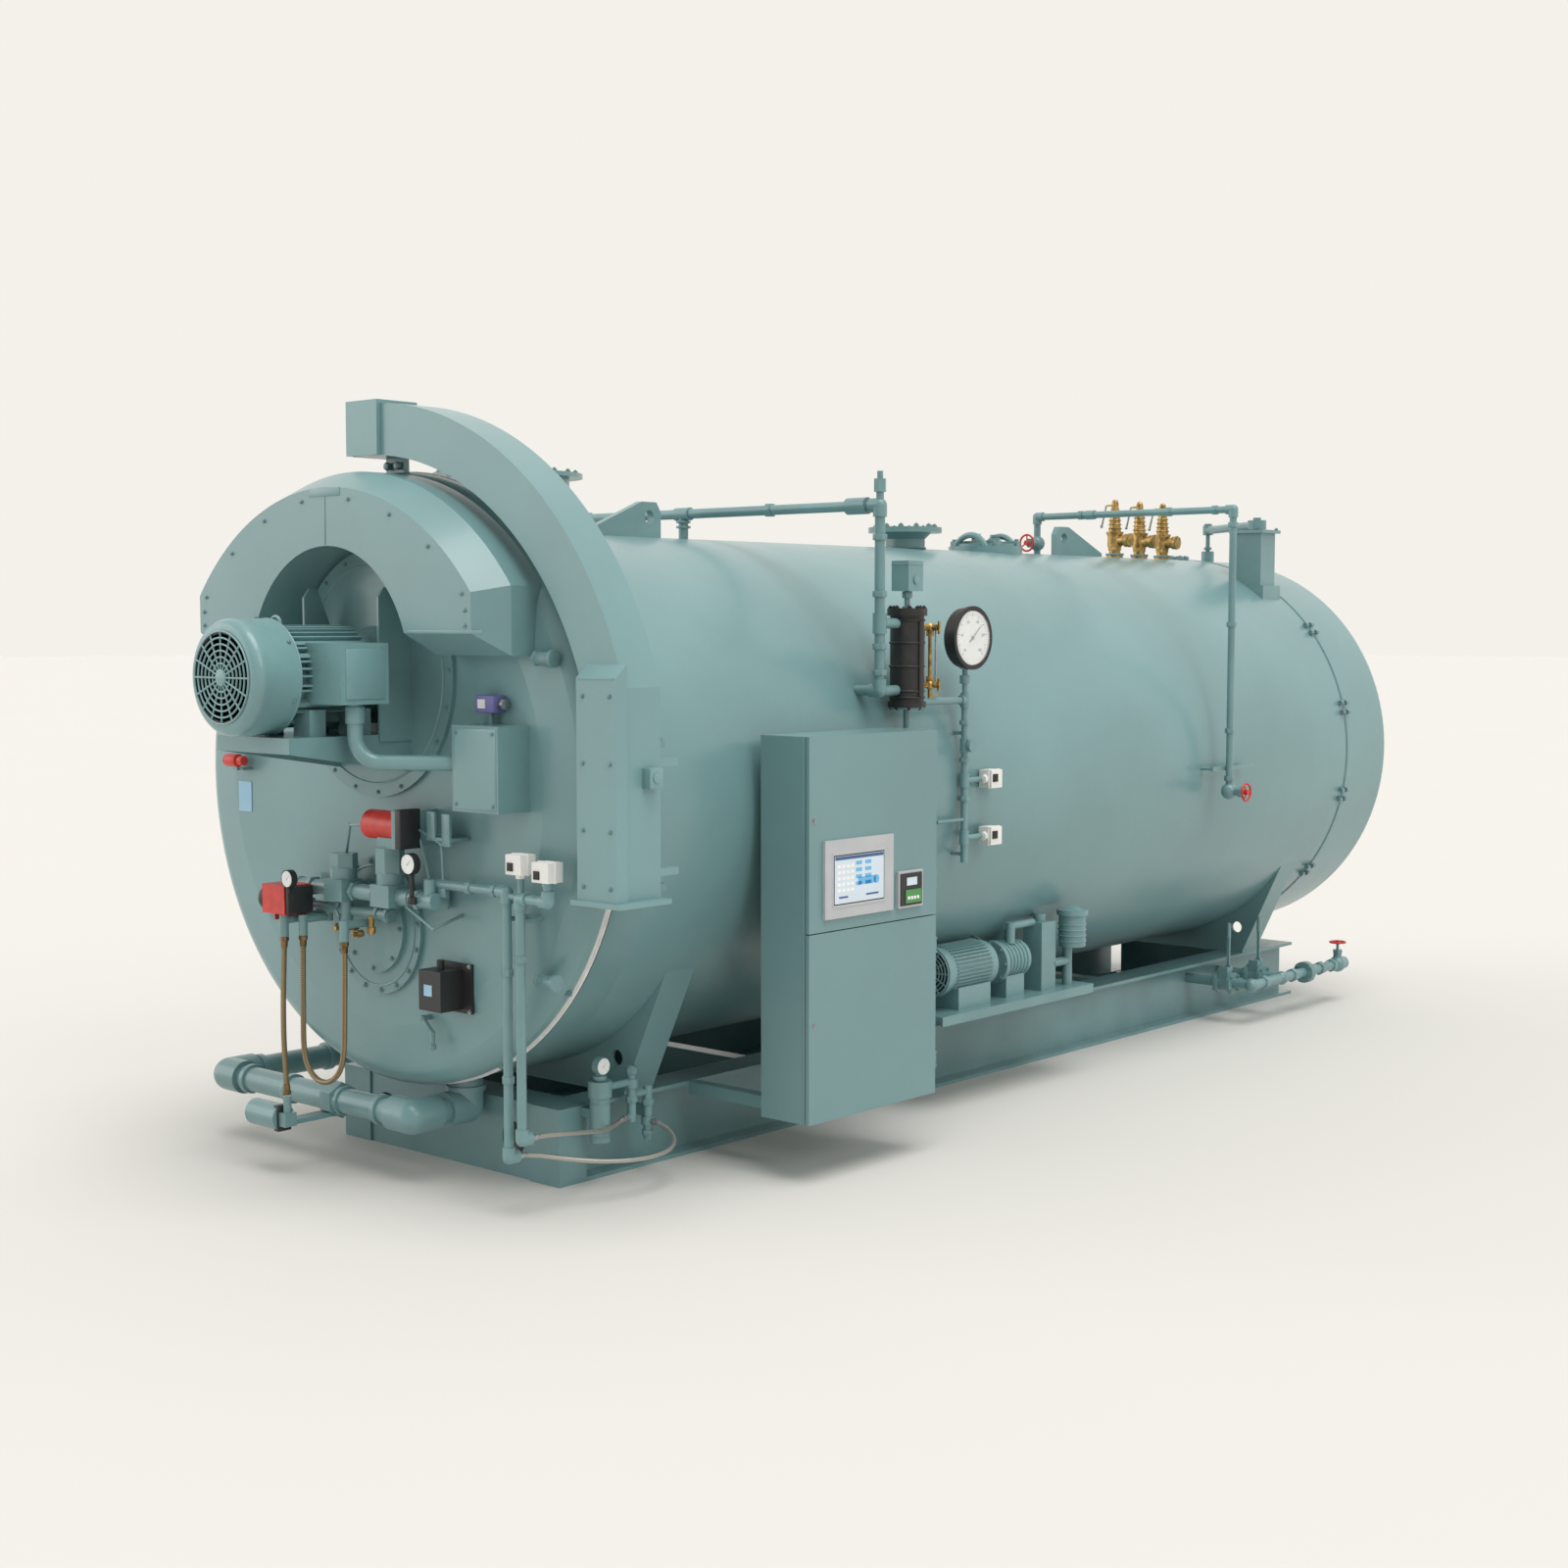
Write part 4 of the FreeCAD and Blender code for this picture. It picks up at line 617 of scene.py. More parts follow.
def gauge(name, centre, out, up, radius, body, numbers=True, slot="black_iron"):
    """White dial with ticks, figures and a needle, under a glass."""
    centre, out, up = Vector(centre), Vector(out), Vector(up)
    right = up.cross(out)
    face = barrel(centre, out, radius * 0.02, radius * 0.96, 56)
    push_faces(face, out, radius * 0.05, 0)
    fit(name + "_dial", [face], "dial", body, slot="white_case")
    marks = []
    ticks = 41 if numbers else 21
    for k in range(ticks):
        angle = math.radians(225 - 270 * k / (ticks - 1))
        spoke = right * math.cos(angle) + up * math.sin(angle)
        major = k % 4 == 0
        length = radius * (0.11 if major else 0.055)
        width = radius * (0.022 if major else 0.011)
        tick = plank((-width / 2, -length / 2, 0), (width / 2, length / 2, radius * 0.008))
        side = spoke.cross(out)
        middle = centre + out * radius * 0.021 + spoke * (radius * 0.86 - length / 2)
        marks.append(stand(tick, middle, side, spoke, out))
        if major and numbers and k % 8 == 0:
            spot = centre + out * radius * 0.023 + spoke * radius * 0.62
            marks.append(numeral(str(k // 4 * 3) + "0", spot, radius * 0.15, right, up, out))
    angle = math.radians(40)
    spoke = right * math.cos(angle) + up * math.sin(angle)
    base = centre + out * radius * 0.035
    marks.append(
        barrel(base - spoke * radius * 0.22, spoke, radius * 0.95, radius * 0.030, 6,
        radius * 0.008))
    marks.append(barrel(centre + out * radius * 0.02, out, radius * 0.035, radius * 0.07, 20))
    fit(name + "_marks", marks, "ink", body, slot=slot)
    cover = barrel(centre + out * radius * 0.075, out, radius * 0.012, radius * 0.95, 48)
    push_faces(cover, out, radius * 0.04, radius * 0.01)
    fit(name + "_glass", [cover], "glass", body)


class BoilerStep:
    """What every step of the boiler's operators shares."""

    bl_options = {"REGISTER", "UNDO"}

    def execute(self, context):
        self.build(context.scene.boiler_looks)
        return {"FINISHED"}


# ------------------------------------------------------------------ places on the boiler
SHELL_AXIS = 1.618
SEAM_AXIS = 1.735
BURNER_AXIS = 1.11
INLET_AXIS = 2.2
RELIEF_VALVES = (5.38, 5.67, 5.95)
MANWAY_STUDS = (3.895, 4.085)
STEAM_NECK = (0, 3.23)
COLUMN = (1.25, 1.655)
GAUGE_GLASS = (1.25, 1.83)
PIPE_PLANE = -0.56
EQUALIZER_PLACE = 1.45
VENT_PLACE = 4.52
BLOWDOWN_LINE = 0.24
REGULATOR = (0.83, 0.06)
AIR_STACK = (0.83, 0.25)
FAR_STACK = (0.83, 0.35)


# ------------------------------------------------------------------ steps
CAD_FINISH = {
    "vessel": "boiler_shell rear_door front_collar", "head": "front_door davit_arm saddles",
    "housing": "burner_housing",
    "cabinet": "cabinet_body cabinet_upper_door cabinet_lower_door",
    "skid": "skid_rails front_crossbeam cross_members compressor_tray",
    "motor": "blower_motor motor_cowl motor_conduit air_compressor",
    "iron": "water_column pressure_gauge", "brass": "gauge_glass safety_valves",
    "red": "gas_actuators low_gas_actuator vent_handwheel side_vent_handwheel drain_handwheel",
    "white": "fuel_switches pressure_switches", "black": "ignition_box",
    "grey": "operator_screen", "gasket": "front_gasket", "tube_steel": "front_tube_sheet",}


class BOILER_OT_finishes(BoilerStep, bpy.types.Operator):
    """Make the finishes and give each fixed piece its own"""

    bl_idname = "boiler.finishes"
    bl_label = "Finishes"

    def build(self, looks):
        FINISH.update(make_finishes(looks))
        for node in NODES:
            paint_node(node, "trim")
        for finish, nodes in CAD_FINISH.items():
            for node in nodes.split():
                paint_node(node, finish)
        paint_where("water_column", "trim", lambda p: p.z > 2.492 or p.z < 2.028)
        paint_where("low_gas_actuator", "trim", lambda p: p.x > -0.318)
        paint_where(
            "gas_actuators", "trim", lambda p: p.x > 0.385 or p.x < -0.396 or 0 < p.x < 0.345
            and p.z < 1.508)


class BOILER_OT_hoses(BoilerStep, bpy.types.Operator):
    """Hang the two bronze hoses and lay the two air hoses"""

    bl_idname = "boiler.hoses"
    bl_label = "Hoses"

    def build(self, looks):
        straight = [
            (-.28, -.76, 1.065), (-.281, -.763, .96), (-.285, -.768, .8), (-.287, -.768, .62),
            (-.283, -.763, .47), (-.28, -.76, .368)]
        loop = [
            (-.22, -.705, 1.07), (-.222, -.707, .935), (-.22, -.711, .735),
            (-.219, -.714, .585), (-.192, -.717, .5), (-.12, -.719, .447), (-.031, -.719, .447),
            (.041, -.717, .5), (.069, -.714, .585), (.07, -.711, .735), (.072, -.707, .935),
            (.07, -.705, 1.07)]
        upper = [
            (1.025, -.51, .34), (1.024, -.44, .337), (1.014, -.33, .322), (.988, -.2, .3),
            (.946, -.075, .276), (.898, .04, .258), (.857, .13, .254), (.836, .18, .26),
            (.83, .22, .265)]
        lower = [
            (.945, -.51, .255), (.95, -.43, .244), (.985, -.32, .214), (1.045, -.19, .186),
            (1.092, -.05, .168), (1.11, .09, .16), (1.095, .215, .164), (1.045, .305, .18),
            (.975, .345, .206), (.915, .352, .226), (.864, .35, .232)]
        bronze = ("burner_head", "hose", "bronze_hose", "bronze")
        steel = ("boiler", "air_line", "air_hose", "steel")
        self.hang("straight_hose_braid", straight, .024, .697, "fitting", "hanging",
                  "straight_hose", *bronze)
        self.hang(
            "loop_hose_braid", loop, .024, 1.40, "object", "hanging", "loop_hose", *bronze)
        self.hang(
            "upper_air_line", upper, .020, .768, "object", "loose", "upper_air_hose", *steel)
        self.hang(
            "lower_air_line", lower, .020, 1.06, "object", "loose", "lower_air_hose", *steel)

    def hang(self, name, points, width, length, far_end, lay, node, body, finish, slot, ends):
        curve = bpy.data.curves.new(name, "CURVE")
        curve.dimensions = "3D"
        spline = curve.splines.new("NURBS")
        spline.points.add(len(points) - 1)
        for knot, point in zip(spline.points, points):
            knot.co = (*point, 1.0)
        spline.order_u = 3
        spline.use_endpoint_u = True
        spline.resolution_u = 10
        curve.bevel_depth = width / 2
        curve.bevel_resolution = 4
        curve.use_fill_caps = True
        hose = bpy.data.objects.new(name, curve)
        bpy.context.scene.collection.objects.link(hose)
        curve.materials.append(FINISH[finish])
        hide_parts(node)
        ferrules = []
        for tip, inner in ((points[0], points[1]), (points[-1], points[-2])):
            tip, inner = Vector(tip), Vector(inner)
            line = (inner - tip).normalized()
            nut = (tip + line * width * 0.1, line, width * 0.7, width * 0.82, 6)
            sleeve = (
                tip + line * width * 0.6, line, width * 1.5, width * 0.66, 24, width * 0.58)
            ferrules += bars(nut, sleeve)
            ferrules.append(
                hoop(tip + line * width * 1.5, line, width * 0.61, width * 0.06, 24))
        crimps = fit(name + "_ferrules", ferrules, ends, body, 0.0008, slot=slot)
        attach(hose, body)


class BOILER_OT_blower(BoilerStep, bpy.types.Operator):
    """Fins, fan grille and bolts of the blower motor"""

    bl_idname = "boiler.blower"
    bl_label = "Blower motor"

    def build(self, looks):
        low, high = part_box("motor_cowl")
        height = (low.z + high.z) / 2
        self.fins(looks.fins, high.y + 0.012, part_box("blower_motor")[1].y - 0.062, height)
        front = low.y
        # Painted shade: a black disc on the cowl front stands for the shadowed inside of the
        # fan mouth behind the grille.
        back = barrel((0, front - 0.001, height), BACK, 0.004, 0.188, 56)
        push_faces(back, FRONT, 0.01, -0.001)
        fit("fan_mouth_painted_shade", [back], "black", HEAD, slot="trim_paint")
        wires = [
            hoop((0, front - 0.004, height), BACK, 0.032 + 0.026 * k, 0.0042, 56)
            for k in range(7)]
        for k in range(8):
            line = spoke_at(math.pi * k / 8)
            wires.append(
                barrel(Vector((0, front - 0.004, height)) - line * 0.19, line, 0.38, 0.0042, 8))
        hub = barrel((0, front - 0.009, height), BACK, 0.01, 0.034, 28)
        wires.append(push_faces(hub, FRONT, 0.008, 0.002))
        fit("fan_grille", wires, "motor", HEAD)
        bands = [hoop((0, high.y - 0.004, height), BACK, 0.2385, 0.004, 72)]
        fit("cowl_bead", bands, "motor", HEAD)
        middle = Vector((0, high.y - 0.03, height))
        rim = circle(middle, BACK, 0.238, 6, 0.4)
        places = [(point, point - middle) for point, _ in rim]
        screws("cowl_screws", 0.009, places, HEAD)
        lo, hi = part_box("motor_conduit")
        lid = plank(
            (hi.x - 0.322, lo.y + 0.022, hi.z - 0.228),
            (hi.x - 0.3 + 0.006, lo.y + 0.218, hi.z - 0.022))
        fit("terminal_box_seam", [lid], "motor", HEAD, 0.003)

    def fins(self, count, start, end, height):
        """A grooved sleeve: alternate faces of a many-sided barrel are drawn outwards."""
        sleeve = barrel((0, start, height), BACK, end - start, 0.17, count * 3)
        bpy.ops.object.transform_apply(location=True, rotation=True, scale=True)
        bpy.ops.object.mode_set(mode="EDIT")
        bpy.ops.mesh.select_mode(type="FACE")
        bpy.ops.mesh.select_all(action="DESELECT")
        cage = bmesh.from_edit_mesh(sleeve.data)
        step = 2 * math.pi / (count * 3)
        for face in cage.faces:
            middle = face.calc_center_median()
            if abs(face.normal.y) < 0.5:
                turn = math.atan2(middle.z - height, middle.x) / step
                face.select_set(int(math.floor(turn + 0.5 + 1e-6)) % 3 == 0)
        bmesh.update_edit_mesh(sleeve.data)
        bpy.ops.mesh.extrude_region_shrink_fatten(TRANSFORM_OT_shrink_fatten={"value": 0.044})
        bpy.ops.object.mode_set(mode="OBJECT")
        rings = [hoop((0, y, height), BACK, 0.196, 0.006, 72) for y in (start, end)]
        fit("motor_fins", [sleeve, *rings], "motor", HEAD)


class BOILER_OT_head_trim(BoilerStep, bpy.types.Operator):
    """Bolts, ports, plates and small gear on the burner head"""

    bl_idname = "boiler.head_trim"
    bl_label = "Burner head trim"

    def build(self, looks):
        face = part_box("front_door")[0].y
        seat = face - 0.02
        bolt_ring(
            "burner_plate_bolts", [((0, seat, BURNER_AXIS), FRONT, 0.282, 16, 0.1),
            ((0, seat - 0.02, BURNER_AXIS), FRONT, 0.185, 8)], looks.bolt * 0.7, HEAD)
        bolt_ring(
            "inlet_plate_bolts", [((0, seat, INLET_AXIS), FRONT, 0.508, 20, 0.05)],
            looks.bolt * 0.6, HEAD)
        ring = [
            hoop((0, seat - 0.001, BURNER_AXIS), BACK, 0.262, 0.004, 72),
            hoop((0, seat - 0.001, INLET_AXIS), BACK, 0.47, 0.005, 96)]
        fit("plate_beads", ring, "head", HEAD, slot="trim_paint")
        self.housing_trim(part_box("burner_housing")[0].y, looks)
        self.seam_bolts(face, looks)
        self.seal()
        panel(
            "blank_plate", (-1.032, face - 0.004, 1.55), (-0.932, face + 0.001, 1.69), FRONT,
            0.01, -0.001, "pale_blue", HEAD, 0.001)
        sensor = bars(
            ((-1.035, face - 0.06, 1.79), RIGHT, 0.09, 0.03, 28),
            ((-0.948, face - 0.06, 1.79), RIGHT, 0.045, 0.022, 20))
        fit("side_sensor", sensor, "red", HEAD, 0.003, slot="red_paint")
        clip = planks(
            ((-1.0, face - 0.055, 1.745), (-0.925, face, 1.755)),
            ((-0.968, face - 0.066, 1.745), (-0.95, face - 0.054, 1.8)))
        fit("side_sensor_clip", clip, "trim", HEAD, 0.001)
        self.ports(face)
        self.boxes(face, looks)

    def housing_trim(self, front, looks):
        """Cap screws along the air housing's front and the crest's cover strip."""
        places = []
        for degrees in (12, 26, 40, 54, 68, 82, 98, 112, 126, 140, 154, 168):
            angle = math.radians(degrees)
            point = Vector((math.cos(angle) * 1.145, front, 1.8 + math.sin(angle) * 1.145))
            if abs(point.x) < 0.905 and point.z > 2.42:
                places.append((point, FRONT))
        for side in (-1, 1):
            for z in (2.41, 2.47):
                places.append((Vector((side * 0.895, front, z)), FRONT))
        screws("housing_screws", looks.bolt * 0.55, places, HEAD)
        crest = plank((-0.105, front - 0.003, 2.952), (0.105, front + 0.004, 2.988))
        strip = plank((-0.004, front - 0.003, 2.75), (0.004, front + 0.003, 2.955))
        fit("housing_crest", [crest, strip], "housing", HEAD, 0.002)
        inner = [
            plank((side * 0.62 - 0.08, front - 0.002, 2.378),
            (side * 0.62 + 0.3 * side + 0.08, front + 0.005, 2.392)) for side in (-1, 1)]
        fit("housing_foot_lips", inner, "housing", HEAD, 0.001)

    def seal(self):
        """The squeezed rope, its bright keeper strip and the dark joint behind it."""
        fit(
            "seam_rope", [hoop((0, -0.2985, SEAM_AXIS), BACK, 1.3335, 0.0075, 160)], "gasket",
            "boiler")
        fit(
            "seam_keeper", [hoop((0, -0.283, 1.732), BACK, 1.3315, 0.01, 160)], "keeper",
            "boiler")
        fit("seam_joint", [hoop((0, -0.27, 1.727), BACK, 1.3275, 0.006, 160)], "ink", "boiler")

    def seam_bolts(self, face, looks):
        """Clamping dogs round the front seam."""
        centre = Vector((0, face + 0.135, SEAM_AXIS))
        dogs, nuts = [], []
        for degrees in (-62, -38, 138, 160, 182, 204, 226, 248, 270, 292):
            spoke = spoke_at(math.radians(degrees))
            if (centre + spoke * 1.335).z < 0.5:
                continue
            base = centre + spoke * 1.322
            dogs.append(barrel(base, spoke, 0.02, 0.016, 16))
            nuts.append((base + spoke * 0.018, spoke))
        nuts = repeat(hex_bolt(looks.bolt * 0.7), nuts)
        fit("seam_dogs", dogs + nuts, "bolt", HEAD)

    def ports(self, face):
        """Capped view ports on the head's slope and a test cock low on its face."""
        parts = []
        for z in (2.28, 0.98):
            parts.append(barrel((1.035, face - 0.016, z), RIGHT, 0.105, 0.027, 28))
            parts.append(barrel((1.128, face - 0.016, z), RIGHT, 0.022, 0.036, 28))
            parts.append(barrel((1.06, face - 0.016, z), BACK, 0.045, 0.018, 20))
            parts.append(barrel((1.04, face - 0.016, z), RIGHT, 0.014, 0.034, 6))
        fit("view_ports", parts, "trim", HEAD, 0.002)
        tube = [
            barrel((0.335, face - 0.04, 0.745), BACK, 0.042, 0.012, 16),
            bead((0.335, face - 0.042, 0.745), 0.015, 16),
            barrel((0.335, face - 0.042, 0.745), (0.75, 0, -0.66), 0.085, 0.01, 16),
            bead((0.398, face - 0.042, 0.69), 0.013, 16),
            barrel((0.398, face - 0.042, 0.69), DOWN, 0.075, 0.01, 16),
            barrel((0.398, face - 0.042, 0.64), DOWN, 0.022, 0.016, 6)]
        fit("test_cock", tube, "trim", HEAD, 0.001)

    def boxes(self, face, looks):
        """Cover, conduit nuts and knob of the junction box and its air switch."""
        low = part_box("junction_box")[0]
        panel(
            "junction_box_lid", (0.712, low.y - 0.003, 1.672), (0.968, low.y + 0.003, 1.998),
            FRONT, 0.012, 0.001, "head", HEAD, 0.002, slot="trim_paint")
        corner = [
            (Vector((x, low.y - 0.003, z)), FRONT) for x in (0.728, 0.952)
            for z in (1.69, 1.98)]
        screws("junction_box_screws", 0.007, corner, HEAD)
        panel(
            "air_switch_case", (0.722, face - 0.066, 2.057), (0.838, face - 0.002, 2.128),
            FRONT, 0.01, 0.003, "violet", HEAD, 0.004)
        knob = bars(
            ((0.836, face - 0.03, 2.092), RIGHT, 0.02, 0.017, 24),
            ((0.852, face - 0.03, 2.092), RIGHT, 0.018, 0.024, 6))
        fit("air_switch_knob", knob, "steel", HEAD, 0.001)
        panel(
            "air_switch_window", (0.745, face - 0.0715, 2.075), (0.79, face - 0.067, 2.112),
            FRONT, 0.004, -0.001, "white", HEAD)
        nuts = bars(
            ((0.64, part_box("motor_conduit")[1].y - 0.032, 1.85), RIGHT, 0.05, 0.04, 24),
            ((0.33, -0.83, 2.01), UP, 0.07, 0.04, 24))
        fit("conduit_nuts", nuts, "motor", HEAD, 0.002)
        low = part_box("ignition_box")[0]
        panel(
            "ignition_box_patch", (0.455, low.y - 0.002, 0.868), (0.505, low.y + 0.001, 0.915),
            FRONT, 0.004, -0.001, "pale_blue", HEAD)
        corner = [
            (Vector((x, face - 0.012, z)), FRONT) for x in (0.409, 0.608) for z in (0.8, 0.99)]
        fit("ignition_box_screws", repeat(hex_bolt(0.008), corner), "steel", HEAD)


class BOILER_OT_gas_train(BoilerStep, bpy.types.Operator):
    """Small valves, dials, tubing and linkage of the gas train"""

    bl_idname = "boiler.gas_train"
    bl_label = "Gas train"

    def build(self, looks):
        gauge("pilot_gauge", (-0.2, -0.8, 1.325), FRONT, UP, 0.036, HEAD, False)
        gauge("gas_gauge", (0.445, -0.66, 1.425), FRONT, UP, 0.042, HEAD, False)
        cups = bars(
            ((-0.2, -0.802, 1.325), BACK, 0.03, 0.039, 32),
            ((-0.2, -0.79, 1.295), DOWN, 0.035, 0.01, 12),
            ((0.445, -0.662, 1.425), BACK, 0.034, 0.045, 32),
            ((0.445, -0.64, 1.385), DOWN, 0.11, 0.01, 12),
            ((0.445, -0.64, 1.285), DOWN, 0.03, 0.02, 6))
        for cup, out in ((cups[0], FRONT), (cups[2], FRONT)):
            push_faces(cup, out, 0.0035, -0.006)
        fit("gas_gauge_cases", cups, "black", HEAD, 0.0006)
        brass = []
        for x, z in ((-0.055, 1.11), (0.035, 1.12), (0.07, 1.095)):
            brass.append(barrel((x, -0.61, z), FRONT, 0.03, 0.016, 6))
            brass.append(barrel((x, -0.636, z), FRONT, 0.026, 0.011, 16))
        for x in (-0.06, 0.12):
            brass.append(barrel((x, -0.6, 1.175), DOWN, 0.08, 0.012, 16))
            brass.append(barrel((x, -0.6, 1.125), DOWN, 0.024, 0.019, 6))
            brass.append(barrel((x - 0.02, -0.6, 1.105), RIGHT, 0.04, 0.006, 10))
        fit("pilot_fittings", brass, "brass", HEAD, 0.0006)
        dark = [
            barrel((-0.398, -0.735, 1.222), LEFT, 0.03, 0.055, 32),
            plank((-0.24, -0.785, 1.169), (-0.212, -0.655, 1.285)),
            plank((0.372, -0.668, 1.482), (0.408, PIPE_PLANE, 1.648)),
            barrel((0.118, -0.59, 1.57), LEFT, 0.018, 0.04, 28),
            barrel((0.1, -0.59, 1.57), LEFT, 0.03, 0.022, 20)]
        fit("actuator_ends", dark, "black", HEAD, 0.003)
        links = [
            barrel((0.48, PIPE_PLANE, 1.3), (-0.35, 0, 1), 0.3, 0.006, 10),
            barrel((0.4, -0.565, 1.56), (1, 0, -0.35), 0.15, 0.006, 10),
            bead((0.482, PIPE_PLANE, 1.3), 0.012, 14),
            bead((0.378, PIPE_PLANE, 1.582), 0.012, 14),
            bead((0.545, -0.562, 1.508), 0.012, 14),
            barrel((0.545, -0.562, 1.508), (0.05, 0, -1), 0.2, 0.006, 10),
            plank((0.52, -0.572, 1.285), (0.575, -0.556, 1.33)),
            plank((0.465, -0.574, 1.53), (0.515, PIPE_PLANE, 1.64)),
            plank((0.56, -0.574, 1.5), (0.61, PIPE_PLANE, 1.635)),
            plank((0.462, -0.572, 1.52), (0.612, -0.46, 1.534))]
        fit("damper_linkage", links, "trim", HEAD, 0.001)
        flats = [
            barrel((x, -0.59, 1.27), RIGHT, 0.026, 0.044, 6)
            for x in (-0.31, -0.015, 0.155, 0.27, 0.42)]
        flats += [
            barrel((x, -0.57, 1.18), RIGHT, 0.022, 0.034, 6)
            for x in (-0.36, -0.14, 0.12, 0.19)]
        flats += [barrel((0.945, PIPE_PLANE, z), UP, 0.03, 0.027, 6) for z in (0.56, 1.0)]
        flats.append(barrel((1.025, PIPE_PLANE, 1.06), UP, 0.03, 0.027, 6))
        flats.append(barrel((0.7, PIPE_PLANE, 1.34), RIGHT, 0.034, 0.028, 6))
        flats.append(barrel((0.86, PIPE_PLANE, 1.34), RIGHT, 0.026, 0.028, 6))
        fit("pipe_unions", flats, "trim", HEAD, 0.0012)
        tubing = [
            barrel((0.36, -0.6, 1.235), (0.9, 0, -0.42), 0.19, 0.007, 12),
            bead((0.531, -0.6, 1.155), 0.009, 12),
            barrel((0.531, -0.6, 1.155), (0.1, 0.6, 0.2), 0.16, 0.007, 12),
            barrel((-0.1, PIPE_PLANE, 1.42), (0.35, -0.1, 1), 0.14, 0.007, 12),
            bead((-0.054, -0.573, 1.552), 0.009, 12),
            barrel((-0.054, -0.573, 1.552), (1, -0.05, 0.07), 0.12, 0.007, 12)]
        fit("impulse_tubing", tubing, "trim", HEAD)
        windows = [
            plank((x0, -0.604, z0), (x0 + 0.034, -0.599, z0 + 0.034)) for x0,
            z0 in ((0.996, 1.434), (1.152, 1.412))]
        fit("fuel_switch_windows", windows, "ink", HEAD, 0.001)
        lugs = []
        for x0, x1, z0, z1 in ((0.985, 1.075, 1.42, 1.5), (1.14, 1.235, 1.4, 1.48)):
            lugs.append(
                plank((x0 - 0.003, -0.565, z0 - 0.003), (x1 + 0.003, -0.555, z1 + 0.003)))
            lugs.append(barrel(((x0 + x1) / 2, PIPE_PLANE, z0 + 0.002), DOWN, 0.02, 0.02, 6))
        fit("fuel_switch_seams", lugs, "white", HEAD, 0.001)
        dark = [
            barrel((-0.513, -0.76, 0.262), LEFT, 0.012, 0.05, 32),
            plank((-0.332, -0.795, 0.205), (-0.3, -0.725, 0.32))]
        fit("low_actuator_ends", dark, "black", "boiler", 0.003)


class BOILER_OT_pressure_gauge(BoilerStep, bpy.types.Operator):
    """Dial of the steam gauge and windows of its switches"""

    bl_idname = "boiler.pressure_gauge"
    bl_label = "Pressure gauge"

    def build(self, looks):
        low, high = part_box("pressure_gauge")
        centre = ((high.x - 0.0098), (low.y + high.y) / 2, (low.z + high.z) / 2)
        gauge("steam_gauge", centre, RIGHT, UP, 0.136, "boiler")
        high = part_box("pressure_switches")[1]
        windows, seams = [], []
        for z in (1.616, 1.336):
            windows.append(
                plank((high.x - 0.001, 2.27, z + 0.03), (high.x + 0.004, 2.312, z + 0.068)))
            seams.append(
                plank((high.x - 0.022, 2.257, z - 0.003), (high.x - 0.014, 2.353, z + 0.091)))
            seams.append(barrel((high.x - 0.037, 2.262, z + 0.044), FRONT, 0.022, 0.022, 6))
        fit("pressure_switch_windows", windows, "ink", "boiler", 0.001)
        fit("pressure_switch_seams", seams, "white", "boiler", 0.001)


class BOILER_OT_water_column(BoilerStep, bpy.types.Operator):
    """Ribs, studs and brass of the level column"""

    bl_idname = "boiler.water_column"
    bl_label = "Water column"

    def build(self, looks):
        centre = Vector((*COLUMN, 0))
        ribs = [
            hoop(centre + UP * z, UP, 0.08, 0.006, 40)
            for z in (2.075, 2.105, 2.22, 2.33, 2.435)]
        spine = plank((1.322, 1.64, 2.08), (1.336, 1.67, 2.43))
        fit("column_ribs", [*ribs, spine], "iron", "boiler", 0.001)
        bolt_ring(
            "column_studs", [(centre + UP * 2.488, UP, 0.078, 8),
            (centre + UP * 2.032, DOWN, 0.074, 8)], 0.011, "boiler", "iron", "black_iron")
        head = [
            plank((1.198, 1.598, 2.69), (1.302, 1.712, 2.698)),
            barrel((*COLUMN, 2.568), DOWN, 0.03, 0.026, 6),
            barrel((*COLUMN, 2.5), DOWN, 0.014, 0.026, 6),
            barrel((1.301, 1.655, 2.62), RIGHT, 0.006, 0.02, 20)]
        fit("probe_head_lid", head, "trim", "boiler", 0.002)
        cocks = []
        for z in (2.13, 2.4):
            cocks.append(barrel((1.25, 1.752, z), BACK, 0.024, 0.021, 6))
            cocks.append(barrel((1.276, 1.83, z), RIGHT, 0.02, 0.017, 6))
            cocks.append(
                barrel((*GAUGE_GLASS, z + (0.016 if z < 2.3 else -0.04)), UP, 0.024, 0.019, 6))
        cocks.append(barrel((*GAUGE_GLASS, 2.112), DOWN, 0.05, 0.01, 14))
        cocks.append(barrel((*GAUGE_GLASS, 2.075), (0, 1, 0.1), 0.05, 0.006, 10))
        fit("glass_cock_nuts", cocks, "brass", "boiler", 0.0008)
        rods = bars(
            ((1.216, 1.83, 2.14), UP, 0.25, 0.0046, 10),
            ((1.284, 1.83, 2.14), UP, 0.25, 0.0046, 10))
        fit("glass_guard_rods", rods, "steel", "boiler")


